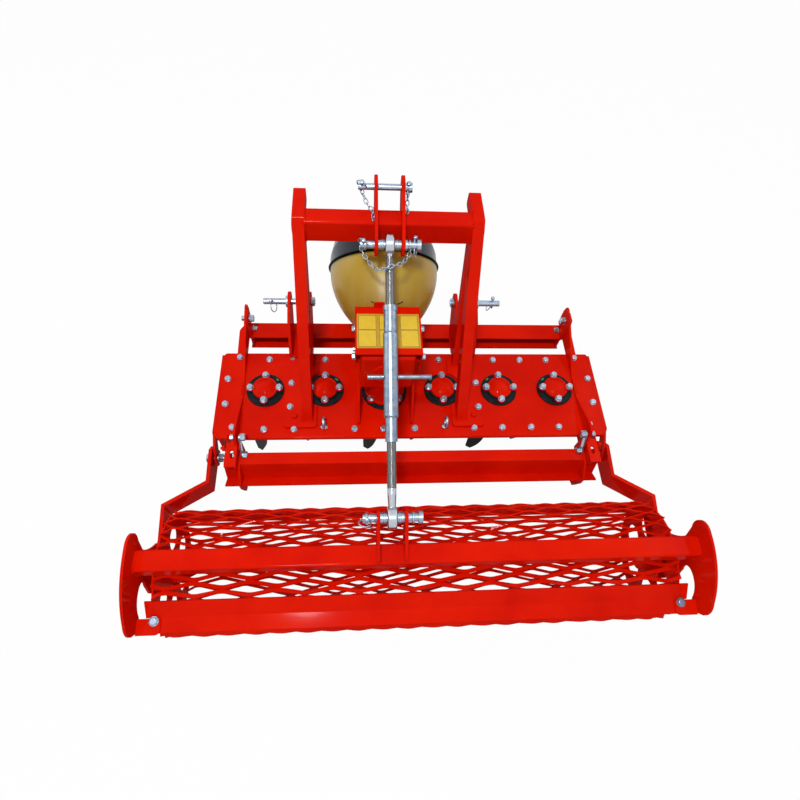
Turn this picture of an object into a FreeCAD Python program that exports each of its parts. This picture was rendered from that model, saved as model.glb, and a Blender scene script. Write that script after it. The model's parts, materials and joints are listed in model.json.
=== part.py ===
import FreeCAD, Part
import math
import os
from FreeCAD import Vector as V

os.makedirs("parts", exist_ok=True)

# Power harrow, 1.3 m working width, seen from behind: X to the right, Y forward, Z up from the ground.
# Rotor line and heights are written from the rotor axes (y = 0) and the ground; y_shift centres the part.

# Rotors and trough
rotor_count = 6
rotor_pitch = 210.0
trough_end = 130.0
trough_rear = 130.0
trough_front = 105.0
trough_bottom = 232.0
trough_corner = 26.0
flange_thick = 6.0
cover_past = 28.0
cover_rear = 180.0
cover_front = 158.0
cover_thick = 6.0
cover_top = 335.0
cover_skirt = 14.0
cover_corner = 10.0
seat_boss_r = 62.0
seat_boss_h = 14.0
ring_r = 68.0
ring_big_r = 83.0
ring_bore = 40.0
ring_h = 16.0
cap_flange_h = 6.0
cap_dome_r = 37.0
cap_dome_h = 13.0
cap_lobe_r = 13.0
cap_bolt_circle = 50.0
rotor_shaft_r = 20.0
rotor_shaft_in = 60.0
shaft_gap = 0.06
carrier_half = 84.0
carrier_wide = 58.0
carrier_h = 44.0
carrier_gap = 7.0
tine_thick = 14.0
tine_wide = 54.0
tine_tip_wide = 20.0
tine_sweep = 16.0
# End plates of the trough and the side brackets
side_plate_thick = 8.0
side_plate_low = 95.0
side_plate_front = 150.0
side_plate_rear = 148.0
side_ear_r = 28.0
bracket_gap = 7.0
bracket_thick = 8.0
bracket_inset = 12.0
bracket_step = 38.0
bracket_tail = 110.0
bracket_peak_y = 300.0
bracket_peak_z = 436.0
bracket_ear_y = -184.0
bracket_ear_z = 398.0
bracket_front = 316.0
slot_wide = 12.0
slot_long = 30.0
# Levelling bars
bar_thick = 6.0
front_bar_past = 4.0
front_bar_front = 302.0
front_bar_deep = 68.0
front_bar_top = 331.0
front_bar_h = 70.0
rear_bar_past = 48.0
rear_bar_front = 226.0
rear_bar_top = 307.0
rear_bar_flange = 42.0
rear_bar_web = 75.0
rear_bar_lean = 20.0
rear_bar_lip = 32.0
rear_bar_lip_rise = 20.0
hanger_thick = 8.0
hanger_tongue = 72.0
# Three-point headstock
hitch_x = -rotor_pitch / 2
leg_outer = 287.0
leg_wide = 36.0
leg_deep = 50.0
fold_y = 265.0
fold_z = 892.0
leg_front = 392.0
brace_foot_y = -128.0
post_top_y = 292.0
post_foot_y = 96.0
post_deep = 40.0
cross_deep = 60.0
cross_h = 80.0
cross_rear = 250.0
cross_wall = 5.0
foot_out = 350.0
foot_in = 236.0
foot_rear = 150.0
foot_front = 134.0
foot_thick = 10.0
ring_clear = 4.0
ear_gap = 35.0
ear_thick = 10.0
top_pin_y = 352.0
top_pin_z = 931.0
top_pin_r = 9.5
top_pin_left = 93.0
top_pin_right = 62.0
ear_r = 31.0
hitch_half = 341.5
link_pin_r = 11.0
link_pin_len = 88.0
link_pin_collar_r = 21.0
link_pin_collar = 8.0
link_y = 292.0
link_z = 471.0
link_plate = 10.0
link_plate_gap = 62.0
link_eye_r = 34.0
# Gearbox, guard and input shaft
box_half = 88.0
box_rear = 62.0
box_front = 84.0
box_low = 452.0
box_top = 640.0
box_round = 16.0
neck_r = 66.0
input_z = 557.0
input_r = 17.5
input_boss_r = 56.0
input_boss = 26.0
input_end = 300.0
spline_count = 6
spline_slot = 9.0
spline_deep = 2.4
spline_run = 72.0
hood_half = 104.0
hood_thick = 4.0
hood_rear = 62.0
hood_front = 120.0
hood_top = 661.0
hood_low = 560.0
hood_tab = 35.0
hood_tab_h = 24.0
hood_tab_at = -26.5
guard_wall = 4.0
guard_throat_r = 84.0
guard_mid_y = 205.0
guard_mid_r = 146.0
guard_big_y = 292.0
guard_big_r = 181.0
guard_rim_y = 400.0
guard_rim_r = 184.0
collar_front = 470.0
collar_r = 172.0
seam_top = 292.0
seam_mid = 378.0
# Adjuster (turnbuckle)
adj_top_y = 210.0
adj_top_z = 841.0
adj_low_ahead = 89.0
adj_low_up = 55.0
adj_pin_r = 12.5
adj_pin_gap = 0.3
adj_pin_left = 88.0
adj_pin_right = 88.0
eye_r = 33.0
eye_thick = 27.0
eye_gap = 0.3
open_eye_gap = 3.4
spacer_r = 16.0
spacer_gap = 2.0
rod_r = 13.5
rod_in = 300.0
lower_rod_out = 480.0
nut_at = 186.0
nut_len = 16.0
nut_r = 21.5
sleeve_at = 203.0
sleeve_r = 19.5
body_at = 270.0
body_end = 517.0
body_r = 22.0
tail_end = 586.0
tail_r = 18.0
rod_gap = 0.3
handle_at = 397.0
handle_r = 6.5
handle_left = 68.0
handle_right = 120.0
# Roller frame and drum
pivot_y = -215.0
pivot_z = 240.0
pivot_r = 10.0
pivot_head = 10.0
pivot_nut = 14.0
pivot_washer = 3.0
arm_gap = 5.0
arm_thick = 12.0
arm_end_past = 35.0
arm_h = 98.0
arm_bend1 = 101.0
arm_bend2 = 177.0
arm_rise_run = 90.0
arm_nose_r = 34.0
drum_y = -590.0
drum_r = 195.0
drum_half = 795.0
mesh_thick = 7.0
mesh_rows = 48
mesh_pitches = 10
mesh_strand = 13.0
mesh_knot = 40.0
mesh_tilt = 9.0
mesh_turn = -1.75
disc_thick = 6.0
disc_holes = 6
disc_hole_r = 38.0
hub_r = 34.0
stub_r = 15.0
bearing_r = 42.0
bearing_thick = 20.0
end_plate_thick = 8.0
lobe_r = 66.0
beam = 60.0
beam_behind = 21.0
beam_up = 262.0
beam_wall = 5.0
lug_gap = 35.0
lug_thick = 10.0
lug_r = 29.0
scraper_half = 780.0
scraper_thick = 6.0
scraper_behind = 155.0
scraper_up = 151.0
scraper_front_run = 41.0
scraper_front_rise = 22.0
scraper_rear_run = 42.0
scraper_rear_drop = 8.0
scraper_tab = 66.0
scraper_tab_past = 4.0
scraper_tab_round = 14.0

plate_reach = 209.0

# Sizes that follow from the ones above
rotor_x = [(i - (rotor_count - 1) / 2) * rotor_pitch for i in range(rotor_count)]
driven = rotor_x.index(hitch_x)
trough_half = rotor_x[-1] + trough_end
cover_half = trough_half + cover_past
bracket_x = rotor_x[-1] + ring_r + bracket_gap
front_bar_half = bracket_x + front_bar_past
rear_bar_half = bracket_x + rear_bar_past
arm_x = cover_half + side_plate_thick + arm_gap
arm_end_x = drum_half + arm_end_past
drum_z = drum_r
beam_y = drum_y - beam_behind
beam_top = drum_z + beam_up
adj_low_y = beam_y + adj_low_ahead
adj_low_z = beam_top + adj_low_up
scraper_y = drum_y - scraper_behind
scraper_z = drum_z + scraper_up
y_front = collar_front
y_rear = plate_reach - drum_y
y_shift = (y_rear - y_front) / 2

# Helpers


def box(x0, x1, y0, y1, z0, z1):
    return Part.makeBox(x1 - x0, y1 - y0, z1 - z0, V(x0, y0, z0))


def rod(p, d, r, length):
    return Part.makeCylinder(r, length, V(*p), V(*d))


def face(points):
    return Part.Face(Part.makePolygon([V(*p) for p in points] + [V(*points[0])]))


def plate_x(points, x0, x1):
    # outline in (y, z) carried from x0 to x1
    return face([(x0, y, z) for y, z in points]).extrude(V(x1 - x0, 0, 0))


def plate_z(points, z0, z1):
    return face([(x, y, z0) for x, y in points]).extrude(V(0, 0, z1 - z0))


def round_x(shape, r, test=None):
    # rounds the edges that run along X
    picked = []
    for e in shape.Edges:
        a, b = e.Vertexes[0].Point, e.Vertexes[-1].Point
        if abs(a.y - b.y) < 1e-6 and abs(a.z - b.z) < 1e-6 and (test is None or test(a)):
            picked.append(e)
    return shape.makeFillet(r, picked) if picked else shape


def round_z(shape, r, test=None):
    picked = []
    for e in shape.Edges:
        a, b = e.Vertexes[0].Point, e.Vertexes[-1].Point
        if abs(a.x - b.x) < 1e-6 and abs(a.y - b.y) < 1e-6 and (test is None or test(a)):
            picked.append(e)
    return shape.makeFillet(r, picked) if picked else shape


def hexagon(x0, x1, y, z, across):
    corner = across / math.sqrt(3)
    turns = [math.radians(60 * k) for k in range(6)]
    return plate_x([(y + corner * math.cos(a), z + corner * math.sin(a)) for a in turns], x0, x1)


def slot_z(x, y, z0, z1, angle):
    # upright slot with round ends, for cutting through a flat plate
    half = (slot_long - slot_wide) / 2
    hole = join([
        box(-half, half, -slot_wide / 2, slot_wide / 2, z0, z1),
        rod((-half, 0, z0), (0, 0, 1), slot_wide / 2, z1 - z0),
        rod((half, 0, z0), (0, 0, 1), slot_wide / 2, z1 - z0),
    ])
    hole.rotate(V(0, 0, 0), V(0, 0, 1), angle)
    return hole.translated(V(x, y, 0))


def join(shapes):
    out = shapes[0].multiFuse(shapes[1:])
    return out.removeSplitter()


def mirror(shape, x=0.0):
    return shape.mirror(V(x, 0, 0), V(1, 0, 0))


nodes = {}


def put(name, shape):
    # keeps a sub-part, moved so that the whole stands centred on the origin
    out = shape.copy()
    out.translate(V(0, y_shift, 0))
    nodes[name] = out


# Trough and cover
cover_low = cover_top - cover_thick
profile = [
    (-trough_rear, cover_low), (-trough_rear, trough_bottom), (trough_front, trough_bottom),
    (trough_front, cover_low),
]
trough = plate_x(profile, -trough_half, trough_half)
trough = round_x(trough, trough_corner, lambda p: p.z < trough_bottom + 1)
trough_flange = box(-cover_half + 14, cover_half - 14, -cover_rear + 4, cover_front - 4,
                    cover_low - flange_thick, cover_low)
cut = cover_corner
trough_flange = round_z(trough_flange, cut * 0.8)
parts = [trough, trough_flange]
for x in rotor_x:
    parts.append(rod((x, 0, trough_bottom - seat_boss_h), (0, 0, 1), seat_boss_r, seat_boss_h + 1))
trough = join(parts)
for x in rotor_x:
    low = trough_bottom - seat_boss_h
    trough = trough.cut(rod((x, 0, low - 1), (0, 0, 1), rotor_shaft_r + shaft_gap, rotor_shaft_in + 3))
put("trough", trough)

cover = box(-cover_half, cover_half, -cover_rear, cover_front, cover_low, cover_top)
cover = round_z(cover, cut)
skirt = box(-cover_half + cut, cover_half - cut, -cover_rear - flange_thick, -cover_rear,
            cover_top - cover_skirt, cover_top)
skirt = round_x(skirt, flange_thick - 1, lambda p: p.z > cover_top - 1 and p.y < -cover_rear - 1)
put("trough_cover", join([cover, skirt]))

rings = []
caps = []
for i, x in enumerate(rotor_x):
    r = ring_big_r if i == driven else ring_r
    ring = rod((x, 0, cover_top), (0, 0, 1), r, ring_h)
    ring = ring.makeChamfer(2.5, [e for e in ring.Edges if abs(e.BoundBox.ZMin - cover_top - ring_h) < 0.01
                                  and e.BoundBox.ZLength < 0.01])
    rings.append(ring.cut(rod((x, 0, cover_top - 1), (0, 0, 1), ring_bore, ring_h + 2)))
    if i == driven:
        continue
    z = cover_top + ring_h
    lobes = [rod((x, 0, z), (0, 0, 1), cap_bolt_circle * 0.86, cap_flange_h)]
    for k in range(4):
        a = math.radians(90 * k)
        at = (x + cap_bolt_circle * math.cos(a), cap_bolt_circle * math.sin(a), z)
        lobes.append(rod(at, (0, 0, 1), cap_lobe_r, cap_flange_h))
    ball_r = (cap_dome_r ** 2 + cap_dome_h ** 2) / (2 * cap_dome_h)
    top = z + cap_flange_h + cap_dome_h
    dome = Part.makeSphere(ball_r, V(x, 0, top - ball_r))
    dome = dome.common(rod((x, 0, z + cap_flange_h - 0.5), (0, 0, 1), cap_dome_r, cap_dome_h + 1))
    caps.append(join(lobes + [dome]))
put("bearing_rings", Part.makeCompound(rings))
put("bearing_caps", Part.makeCompound(caps))

# Trough end plates (carry the roller arms)
ear_side = side_ear_r * 0.86
ear_up = side_ear_r * 0.5
side_pts = [
    (side_plate_front, cover_top), (side_plate_front, side_plate_low + 40),
    (side_plate_front - 40, side_plate_low), (-side_plate_rear + 40, side_plate_low),
    (-side_plate_rear, side_plate_low + 55), (-side_plate_rear, cover_low - 53),
    (-side_plate_rear - 22, cover_low - 47),
    (pivot_y + ear_side, pivot_z + ear_up), (pivot_y, pivot_z), (pivot_y - ear_side, pivot_z + ear_up),
    (pivot_y + 8, cover_low - 30), (-side_plate_rear - 20, cover_low - 6),
    (-side_plate_rear - 12, cover_top),
]
side = plate_x(side_pts, cover_half, cover_half + side_plate_thick)
side = round_x(side, 10, lambda p: p.z < side_plate_low + 60)
side = side.fuse(rod((cover_half, pivot_y, pivot_z), (1, 0, 0), side_ear_r,
    side_plate_thick)).removeSplitter()
side = side.cut(rod((cover_half - 1, pivot_y, pivot_z), (1, 0, 0), pivot_r, side_plate_thick + 2))
spacer_len = arm_x - cover_half - side_plate_thick
nut_out = cover_half - pivot_washer
thread_end = nut_out - pivot_nut - 6
head_in = arm_x + arm_thick + 1
pivot = join([
    rod((thread_end, pivot_y, pivot_z), (1, 0, 0), pivot_r, head_in + 1 - thread_end),
    hexagon(head_in + pivot_washer, head_in + pivot_washer + pivot_head, pivot_y, pivot_z, pivot_r * 2.8),
    rod((head_in, pivot_y, pivot_z), (1, 0, 0), pivot_r * 1.8, pivot_washer),
    hexagon(nut_out - pivot_nut, nut_out, pivot_y, pivot_z, pivot_r * 2.8),
    rod((nut_out, pivot_y, pivot_z), (1, 0, 0), pivot_r * 1.8, pivot_washer),
    rod((cover_half + side_plate_thick, pivot_y, pivot_z), (1, 0, 0), pivot_r * 1.6, spacer_len - 0.3),
])
put("side_plate_right", side)
put("side_plate_left", mirror(side))
put("arm_pivot_bolts", Part.makeCompound([pivot, mirror(pivot)]))

# Side brackets
fl = cover_top + bracket_thick
bx = bracket_x
tail_y = -cover_rear - bracket_tail
peak = [
    (-cover_rear - 12, cover_top), (-cover_rear - 12, 238), (-rear_bar_front + 4, 238),
    (-rear_bar_front + 4, rear_bar_top + 5), (tail_y, rear_bar_top + 5), (tail_y, fl),
    (bracket_ear_y - 32, fl), (bracket_ear_y - 14, bracket_ear_z - 3), (bracket_ear_y + 8, bracket_ear_z),
    (bracket_ear_y + 40, bracket_ear_z - 9), (-90, bracket_ear_z - 32), (-36, fl), (56, fl),
    (bracket_peak_y - 124, bracket_peak_z - 41), (bracket_peak_y - 62, bracket_peak_z - 17),
    (bracket_peak_y - 6, bracket_peak_z), (bracket_peak_y + 8, bracket_peak_z - 4),
    (bracket_front, bracket_peak_z - 34),
    (bracket_front - 4, cover_top + 1), (cover_front, cover_top + 1), (cover_front, cover_top),
]
upright = plate_x(peak, bx, bx + bracket_thick)
edge_x = cover_half - bracket_inset
flange_pts = [
    (bx, tail_y), (bx + bracket_step, tail_y), (bx + bracket_step, -cover_rear - 8),
    (edge_x - 12, -cover_rear - 8),
    (edge_x, -cover_rear + 4), (edge_x + 4, cover_front - 10), (bx + bracket_step - 2, cover_front - 8),
    (bx + bracket_step, bracket_front - 60), (bx + bracket_step - 10, bracket_front - 42),
    (bx, bracket_front - 34),
]
flange = plate_z(flange_pts, cover_top, fl)
for at_x, at_y, angle in ((bx + 16, tail_y + 44, 80), (bx + 30, tail_y + 100, 80)):
    flange = flange.cut(slot_z(at_x, at_y, cover_top - 1, fl + 1, angle))
put("side_bracket_right", join([upright, flange]))
put("side_bracket_left", mirror(nodes["side_bracket_right"]).translated(V(0, -y_shift, 0)))

# Levelling bars with their hangers
t = bar_thick
fy0, fy1 = front_bar_front - front_bar_deep, front_bar_front
fz0, fz1 = front_bar_top - front_bar_h, front_bar_top
front_pts = [
    (fy0, fz1), (fy1, fz1), (fy1, fz0), (fy0, fz0), (fy0, fz0 + t), (fy1 - t, fz0 + t),
    (fy1 - t, fz1 - t), (fy0, fz1 - t),
]
front_bar = plate_x(front_pts, -front_bar_half, front_bar_half)
front_bar = round_x(front_bar, 5, lambda p: p.y > fy1 - 1)
hx0, hx1 = bracket_x - hanger_thick, bracket_x
front_hang = plate_x([(fy0 - 6, fz1 - 1), (fy1 - 30, fz1 - 1), (fy1 - 36, 452), (fy0 - 2, 452),
                      (fy0 - 10, 440)], hx0, hx1)
front_gusset = plate_x([(fy0 + 4, fz0 + t - 1), (fy1 - t + 1, fz0 + t - 1), (fy1 - t + 1, fz1 - t + 1),
                        (fy0 + 4, fz1 - t + 1)], hx0, hx1)
hang = [front_hang, front_gusset]
put("front_levelling_bar", join([front_bar] + hang + [mirror(s) for s in hang]))

ry, rz = -rear_bar_front, rear_bar_top
mid = [(ry, rz), (ry - rear_bar_flange, rz),
       (ry - rear_bar_flange - rear_bar_lean, rz - rear_bar_web),
       (ry - rear_bar_flange - rear_bar_lean - rear_bar_lip, rz - rear_bar_web + rear_bar_lip_rise)]


def fold_band(points, thick):
    # closed outline of a folded sheet: the outer line as given, the inner one set off by the thickness
    def normal(a, b):
        dy, dz = b[0] - a[0], b[1] - a[1]
        n = math.hypot(dy, dz)
        return (-dz / n, dy / n)
    inner = []
    for i, p in enumerate(points):
        if i == 0:
            n = normal(points[0], points[1])
            inner.append((p[0] + n[0] * thick, p[1] + n[1] * thick))
        elif i == len(points) - 1:
            n = normal(points[-2], points[-1])
            inner.append((p[0] + n[0] * thick, p[1] + n[1] * thick))
        else:
            n1, n2 = normal(points[i - 1], p), normal(p, points[i + 1])
            k = 1 + n1[0] * n2[0] + n1[1] * n2[1]
            inner.append((p[0] + (n1[0] + n2[0]) / k * thick, p[1] + (n1[1] + n2[1]) / k * thick))
    return points + inner[::-1]


rear_bar = plate_x(fold_band(mid, t), -rear_bar_half, rear_bar_half)
lip_y, lip_z = mid[3]
tip_y = mid[2][0] - 20
tip_z = mid[2][1] - hanger_tongue
rear_hang_pts = [
    (-cover_rear - 12, cover_top - 4), (-rear_bar_front + 2, cover_top - 4), (-rear_bar_front + 2, rz + 2),
    (ry - rear_bar_flange - 12, rz + 2), (lip_y - 6, lip_z + 10), (lip_y - 6, lip_z - 26), (tip_y, tip_z),
    (tip_y + 20, tip_z - 8), (mid[2][0] + 28, mid[2][1] - 6), (-cover_rear - 12, 252),
]
rear_hang = plate_x(rear_hang_pts, hx0, hx1)
put("rear_levelling_bar", join([rear_bar, rear_hang, mirror(rear_hang)]))

# Headstock
leg_in = leg_outer - leg_wide
foot_z = cover_top + foot_thick
dy, dz = fold_y - brace_foot_y, fold_z - foot_z
n = math.hypot(dy, dz)
ny, nz = leg_deep * dz / n, -leg_deep * dy / n
top_low = fold_z - leg_deep
# where the underside of the sloping part meets the underside of the level part
k = (top_low - (foot_z + nz)) / dz
in_y = brace_foot_y + ny + dy * k
foot_back = brace_foot_y + ny - nz / dz * dy
leg_pts = [
    (leg_front, fold_z), (fold_y, fold_z), (brace_foot_y, foot_z), (foot_back, foot_z), (in_y, top_low),
    (leg_front, top_low),
]
leg = plate_x(leg_pts, hitch_x + leg_in, hitch_x + leg_outer)
leg = round_x(leg, 12, lambda p: p.y > leg_front - 1)
leg = round_x(leg, 14, lambda p: abs(p.y - fold_y) < 1 and p.z > fold_z - 1)
pdy, pdz = post_top_y - post_foot_y, top_low - foot_z
post_wide = post_deep * math.hypot(pdy, pdz) / pdz
post = plate_x([(post_foot_y, foot_z), (post_foot_y + post_wide, foot_z), (post_top_y + post_wide, top_low),
                (post_top_y, top_low)], hitch_x + leg_in + 4, hitch_x + leg_outer - 4)
foot = box(hitch_x + foot_in, hitch_x + foot_out, -foot_rear, foot_front, cover_top, foot_z)
foot = round_z(foot, 14)
for x in rotor_x:
    foot = foot.cut(rod((x, 0, cover_top - 1), (0, 0, 1), ring_r + ring_clear, foot_thick + 2))


def both(shape):
    return Part.makeCompound([shape, mirror(shape, hitch_x)])


put("headstock_leg_right", leg)
put("headstock_leg_left", mirror(leg, hitch_x))
put("headstock_post_right", post)
put("headstock_post_left", mirror(post, hitch_x))
left_foot = box(hitch_x - foot_out, hitch_x - foot_in, -foot_rear, foot_front, cover_top, foot_z)
left_foot = round_z(left_foot, 14)
for x in rotor_x:
    left_foot = left_foot.cut(rod((x, 0, cover_top - 1), (0, 0, 1), ring_r + ring_clear, foot_thick + 2))
put("headstock_feet", Part.makeCompound([foot, left_foot]))
cz1 = fold_z - 6
tube = box(hitch_x - leg_in, hitch_x + leg_in, cross_rear, cross_rear + cross_deep, cz1 - cross_h, cz1)
tube = round_x(tube, 8)
put("cross_tube", tube)

ear_pts = [
    (top_pin_y - 18, top_pin_z + ear_r), (top_pin_y + 16, top_pin_z + ear_r),
    (top_pin_y + ear_r, top_pin_z + 14),
    (top_pin_y + ear_r, top_pin_z - 22), (cross_rear + cross_deep + 26, cz1 - 30),
    (cross_rear + cross_deep + 12, cz1 - cross_h - 6), (adj_top_y + 4, adj_top_z - ear_r - 4),
    (adj_top_y - 20, adj_top_z - ear_r + 2), (adj_top_y - ear_r, adj_top_z - 12),
    (adj_top_y - ear_r, adj_top_z + 14),
    (adj_top_y - 14, adj_top_z + 34), (cross_rear - 4, cz1 + 24), (top_pin_y - ear_r, top_pin_z + 14),
]
ear = plate_x(ear_pts, hitch_x + ear_gap, hitch_x + ear_gap + ear_thick)
ear = round_x(ear, 7)
ear = ear.cut(tube)
for y, z, r in ((top_pin_y, top_pin_z, top_pin_r), (adj_top_y, adj_top_z, adj_pin_r)):
    ear = ear.cut(rod((hitch_x, y, z), (1, 0, 0), r, 100))
put("hitch_ears", both(ear))


def spacers(y, z, r, out):
    # rings on a pin, either side of the ball eye, up to the plates that hold the pin
    start = eye_thick / 2 + spacer_gap
    rings = [rod((hitch_x + s * start, y, z), (s, 0, 0), r, out - start) for s in (-1, 1)]
    return rings


def headed_pin(y, z, r, left, right, collar):
    bar = rod((hitch_x - left, y, z), (1, 0, 0), r, left + right)
    head = rod((hitch_x + right - 6, y, z), (1, 0, 0), r * 1.5, 12)
    stop = rod((hitch_x + ear_gap + ear_thick, y, z), (1, 0, 0), r * 1.35, collar)
    return join([bar, head, stop])


put("top_link_pin", headed_pin(top_pin_y, top_pin_z, top_pin_r, top_pin_left, top_pin_right, 6))
top_pin = headed_pin(adj_top_y, adj_top_z, adj_pin_r, adj_pin_left, adj_pin_right, 8)
put("adjuster_top_pin", join([top_pin] + spacers(adj_top_y, adj_top_z, spacer_r, ear_gap)))

# lower link brackets: two plates each side, carrying the pin, standing on the cover's front edge
plate_in = hitch_half - link_plate
link_pts = [
    (link_y + 8, link_z + link_eye_r), (link_y - 20, link_z + link_eye_r - 4), (link_y - 92, link_z - 4),
    (foot_front + 2, foot_z + 26), (foot_front + 2, cover_top + 1), (link_y - 30, cover_top + 1),
    (link_y + link_eye_r - 4, link_z - 30), (link_y + link_eye_r, link_z - 8),
    (link_y + link_eye_r, link_z + 14),
    (link_y + 24, link_z + link_eye_r - 8),
]
link_outer = plate_x(link_pts, hitch_x + plate_in, hitch_x + hitch_half)
link_inner = plate_x(link_pts, hitch_x + plate_in - link_plate_gap - link_plate,
    hitch_x + plate_in - link_plate_gap)
base = box(hitch_x + plate_in - link_plate_gap, hitch_x + plate_in, foot_front + 2, link_y - 30,
           cover_top + 1, cover_top + 11)
seat = box(hitch_x + plate_in - link_plate_gap - link_plate, hitch_x + hitch_half, foot_front + 2,
    cover_front,
           cover_top, cover_top + 2)
link = join([link_outer, link_inner, base, seat])
link = link.cut(rod((hitch_x, link_y, link_z), (1, 0, 0), link_pin_r, 600)).cut(post)
put("link_bracket_right", link)
put("link_bracket_left", mirror(link, hitch_x))
inner_end = hitch_x + plate_in - link_plate_gap - link_plate
link_pin = join([
    rod((inner_end - 14, link_y, link_z), (1, 0, 0), link_pin_r,
    hitch_x + hitch_half + link_pin_len - inner_end + 14),
    rod((hitch_x + hitch_half, link_y, link_z), (1, 0, 0), link_pin_collar_r, link_pin_collar),
    rod((inner_end - 12, link_y, link_z), (1, 0, 0), link_pin_collar_r * 0.8, 12),
])
put("link_pin_right", link_pin)
put("link_pin_left", mirror(link_pin, hitch_x))

# Gearbox, hood, guard, input shaft
ring_top = cover_top + ring_h
body = box(hitch_x - box_half, hitch_x + box_half, -box_rear, box_front, box_low, box_top)
body = body.makeFillet(box_round, body.Edges)
neck = rod((hitch_x, 0, ring_top), (0, 0, 1), neck_r, box_low - ring_top + box_round)
lobes = [rod((hitch_x, 0, ring_top), (0, 0, 1), neck_r + 4, 12)]
for k in range(4):
    a = math.radians(45 + 90 * k)
    lobes.append(rod((hitch_x + 68 * math.cos(a), 68 * math.sin(a), ring_top), (0, 0, 1), 14, 12))
boss = rod((hitch_x, box_front - 2, input_z), (0, 1, 0), input_boss_r, input_boss + 2)
back = rod((hitch_x, -box_rear - 7, input_z - 6), (0, 1, 0), input_boss_r - 6, 8)
side_boss = []
for s in (-1, 1):
    for y in (-box_rear + 34, box_front - 34):
        x0 = hitch_x + s * (box_half - 1)
        side_boss.append(rod((x0, y, hood_low + 26), (s, 0, 0), 13, hood_half - hood_thick - box_half + 1))
gear = join([body, neck, boss, back] + lobes + side_boss)
gear = gear.cut(rod((hitch_x, box_front - 40, input_z), (0, 1, 0), input_r + shaft_gap, 100))
put("gearbox", gear)

rib_pts = [(-neck_r - 70, cover_top), (-neck_r - 70, cover_top + 14), (-neck_r - 8, box_low - 8),
    (-20, box_low - 8),
           (-20, cover_top)]
ribs = [plate_x(rib_pts, hitch_x + s * 92 - 4, hitch_x + s * 92 + 4) for s in (-1, 1)]
put("gearbox_ribs", Part.makeCompound(ribs))

hood_top_plate = box(hitch_x - hood_half, hitch_x + hood_half, -hood_rear, hood_front,
    hood_top - hood_thick, hood_top)
flaps = [box(hitch_x + s * (hood_half - hood_thick / 2) - hood_thick / 2,
             hitch_x + s * (hood_half - hood_thick / 2) + hood_thick / 2,
             -hood_rear + 8, hood_front, hood_low, hood_top) for s in (-1, 1)]
mouth = box(hitch_x - hood_half, hitch_x + hood_half, hood_front - hood_thick, hood_front, hood_low - 90,
    hood_top)
mouth = mouth.cut(rod((hitch_x, hood_front - hood_thick - 1, input_z), (0, 1, 0), input_boss_r + 4,
    hood_thick + 2))
tab_x = hitch_x + hood_tab_at
tab = box(tab_x - hood_tab / 2, tab_x + hood_tab / 2, hood_front - hood_thick, hood_front, hood_top - 1,
    hood_top + hood_tab_h)
tab = tab.makeFillet(8, [e for e in tab.Edges if e.BoundBox.ZMin > hood_top + 2 and e.BoundBox.XLength < 0.01])
put("gearbox_hood", join([hood_top_plate, mouth, tab] + flaps))

g0 = hood_front
outer = [(g0, guard_throat_r), (guard_mid_y, guard_mid_r), (guard_big_y, guard_big_r),
    (guard_rim_y, guard_rim_r)]


def bell(points, y_from, y_end, r_end, wall, lip):
    # thin bell round the input shaft: a curve of radii along Y, turned, with a flat flange at its throat
    curve = Part.BSplineCurve()
    curve.interpolate([V(hitch_x + r, y, input_z) for y, r in points])
    edge_out = curve.toShape()
    inner = Part.BSplineCurve()
    inner.interpolate([
        V(hitch_x + r - wall, y + (wall if i == 0 else 0), input_z)
        for i, (y, r) in enumerate(points)])
    edge_in = inner.toShape()
    a0, a1 = edge_out.valueAt(edge_out.FirstParameter), edge_out.valueAt(edge_out.LastParameter)
    b0, b1 = edge_in.valueAt(edge_in.FirstParameter), edge_in.valueAt(edge_in.LastParameter)
    c0, c1 = V(hitch_x + lip, a0.y, input_z), V(hitch_x + lip, b0.y, input_z)
    wire = Part.Wire([edge_out, Part.makeLine(a1, b1), edge_in, Part.makeLine(b0, c1),
        Part.makeLine(c1, c0),
                      Part.makeLine(c0, a0)])
    return Part.Face(wire).revolve(V(hitch_x, 0, input_z), V(0, 1, 0), 360)


shell = bell(outer, g0, guard_rim_y, guard_rim_r, guard_wall, input_boss_r + 4)
slope = (seam_mid - seam_top) / guard_big_r
big = 400
seam = plate_x([(seam_mid + slope * big, input_z - big), (seam_mid - slope * big, input_z + big),
                (-100, input_z + big), (-100, input_z - big)], hitch_x - big, hitch_x + big)
put("pto_guard", shell.common(seam))
collar_pts = [(guard_big_y - 20, guard_big_r + 2), (guard_rim_y, guard_rim_r + 6),
    (collar_front - 14, collar_r + 8),
              (collar_front, collar_r - 6)]
outline = [V(hitch_x + r, y, input_z) for y, r in collar_pts]
inline = [V(hitch_x + r - 7, y, input_z) for y, r in collar_pts]
ring_face = Part.Face(Part.makePolygon(outline + inline[::-1] + [outline[0]]))
collar = ring_face.revolve(V(hitch_x, 0, input_z), V(0, 1, 0), 360)
put("pto_guard_collar", collar.cut(seam))

shaft = join([
    rod((hitch_x, box_front - 38, input_z), (0, 1, 0), input_r, input_end - box_front + 38),
    rod((hitch_x, box_front + input_boss + 6, input_z), (0, 1, 0), input_r + 6, 20),
])
groove = Part.makeTorus(input_r + 2, 5, V(hitch_x, input_end - 28, input_z), V(0, 1, 0))
shaft = shaft.cut(groove)
for k in range(spline_count):
    slot = box(-spline_slot / 2, spline_slot / 2, input_end - spline_run, input_end + 1,
        input_r - spline_deep, input_r + 2)
    slot.rotate(V(0, 0, 0), V(0, 1, 0), 360 * k / spline_count)
    shaft = shaft.cut(slot.translated(V(hitch_x, 0, input_z)))
put("input_shaft", shaft)

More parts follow.
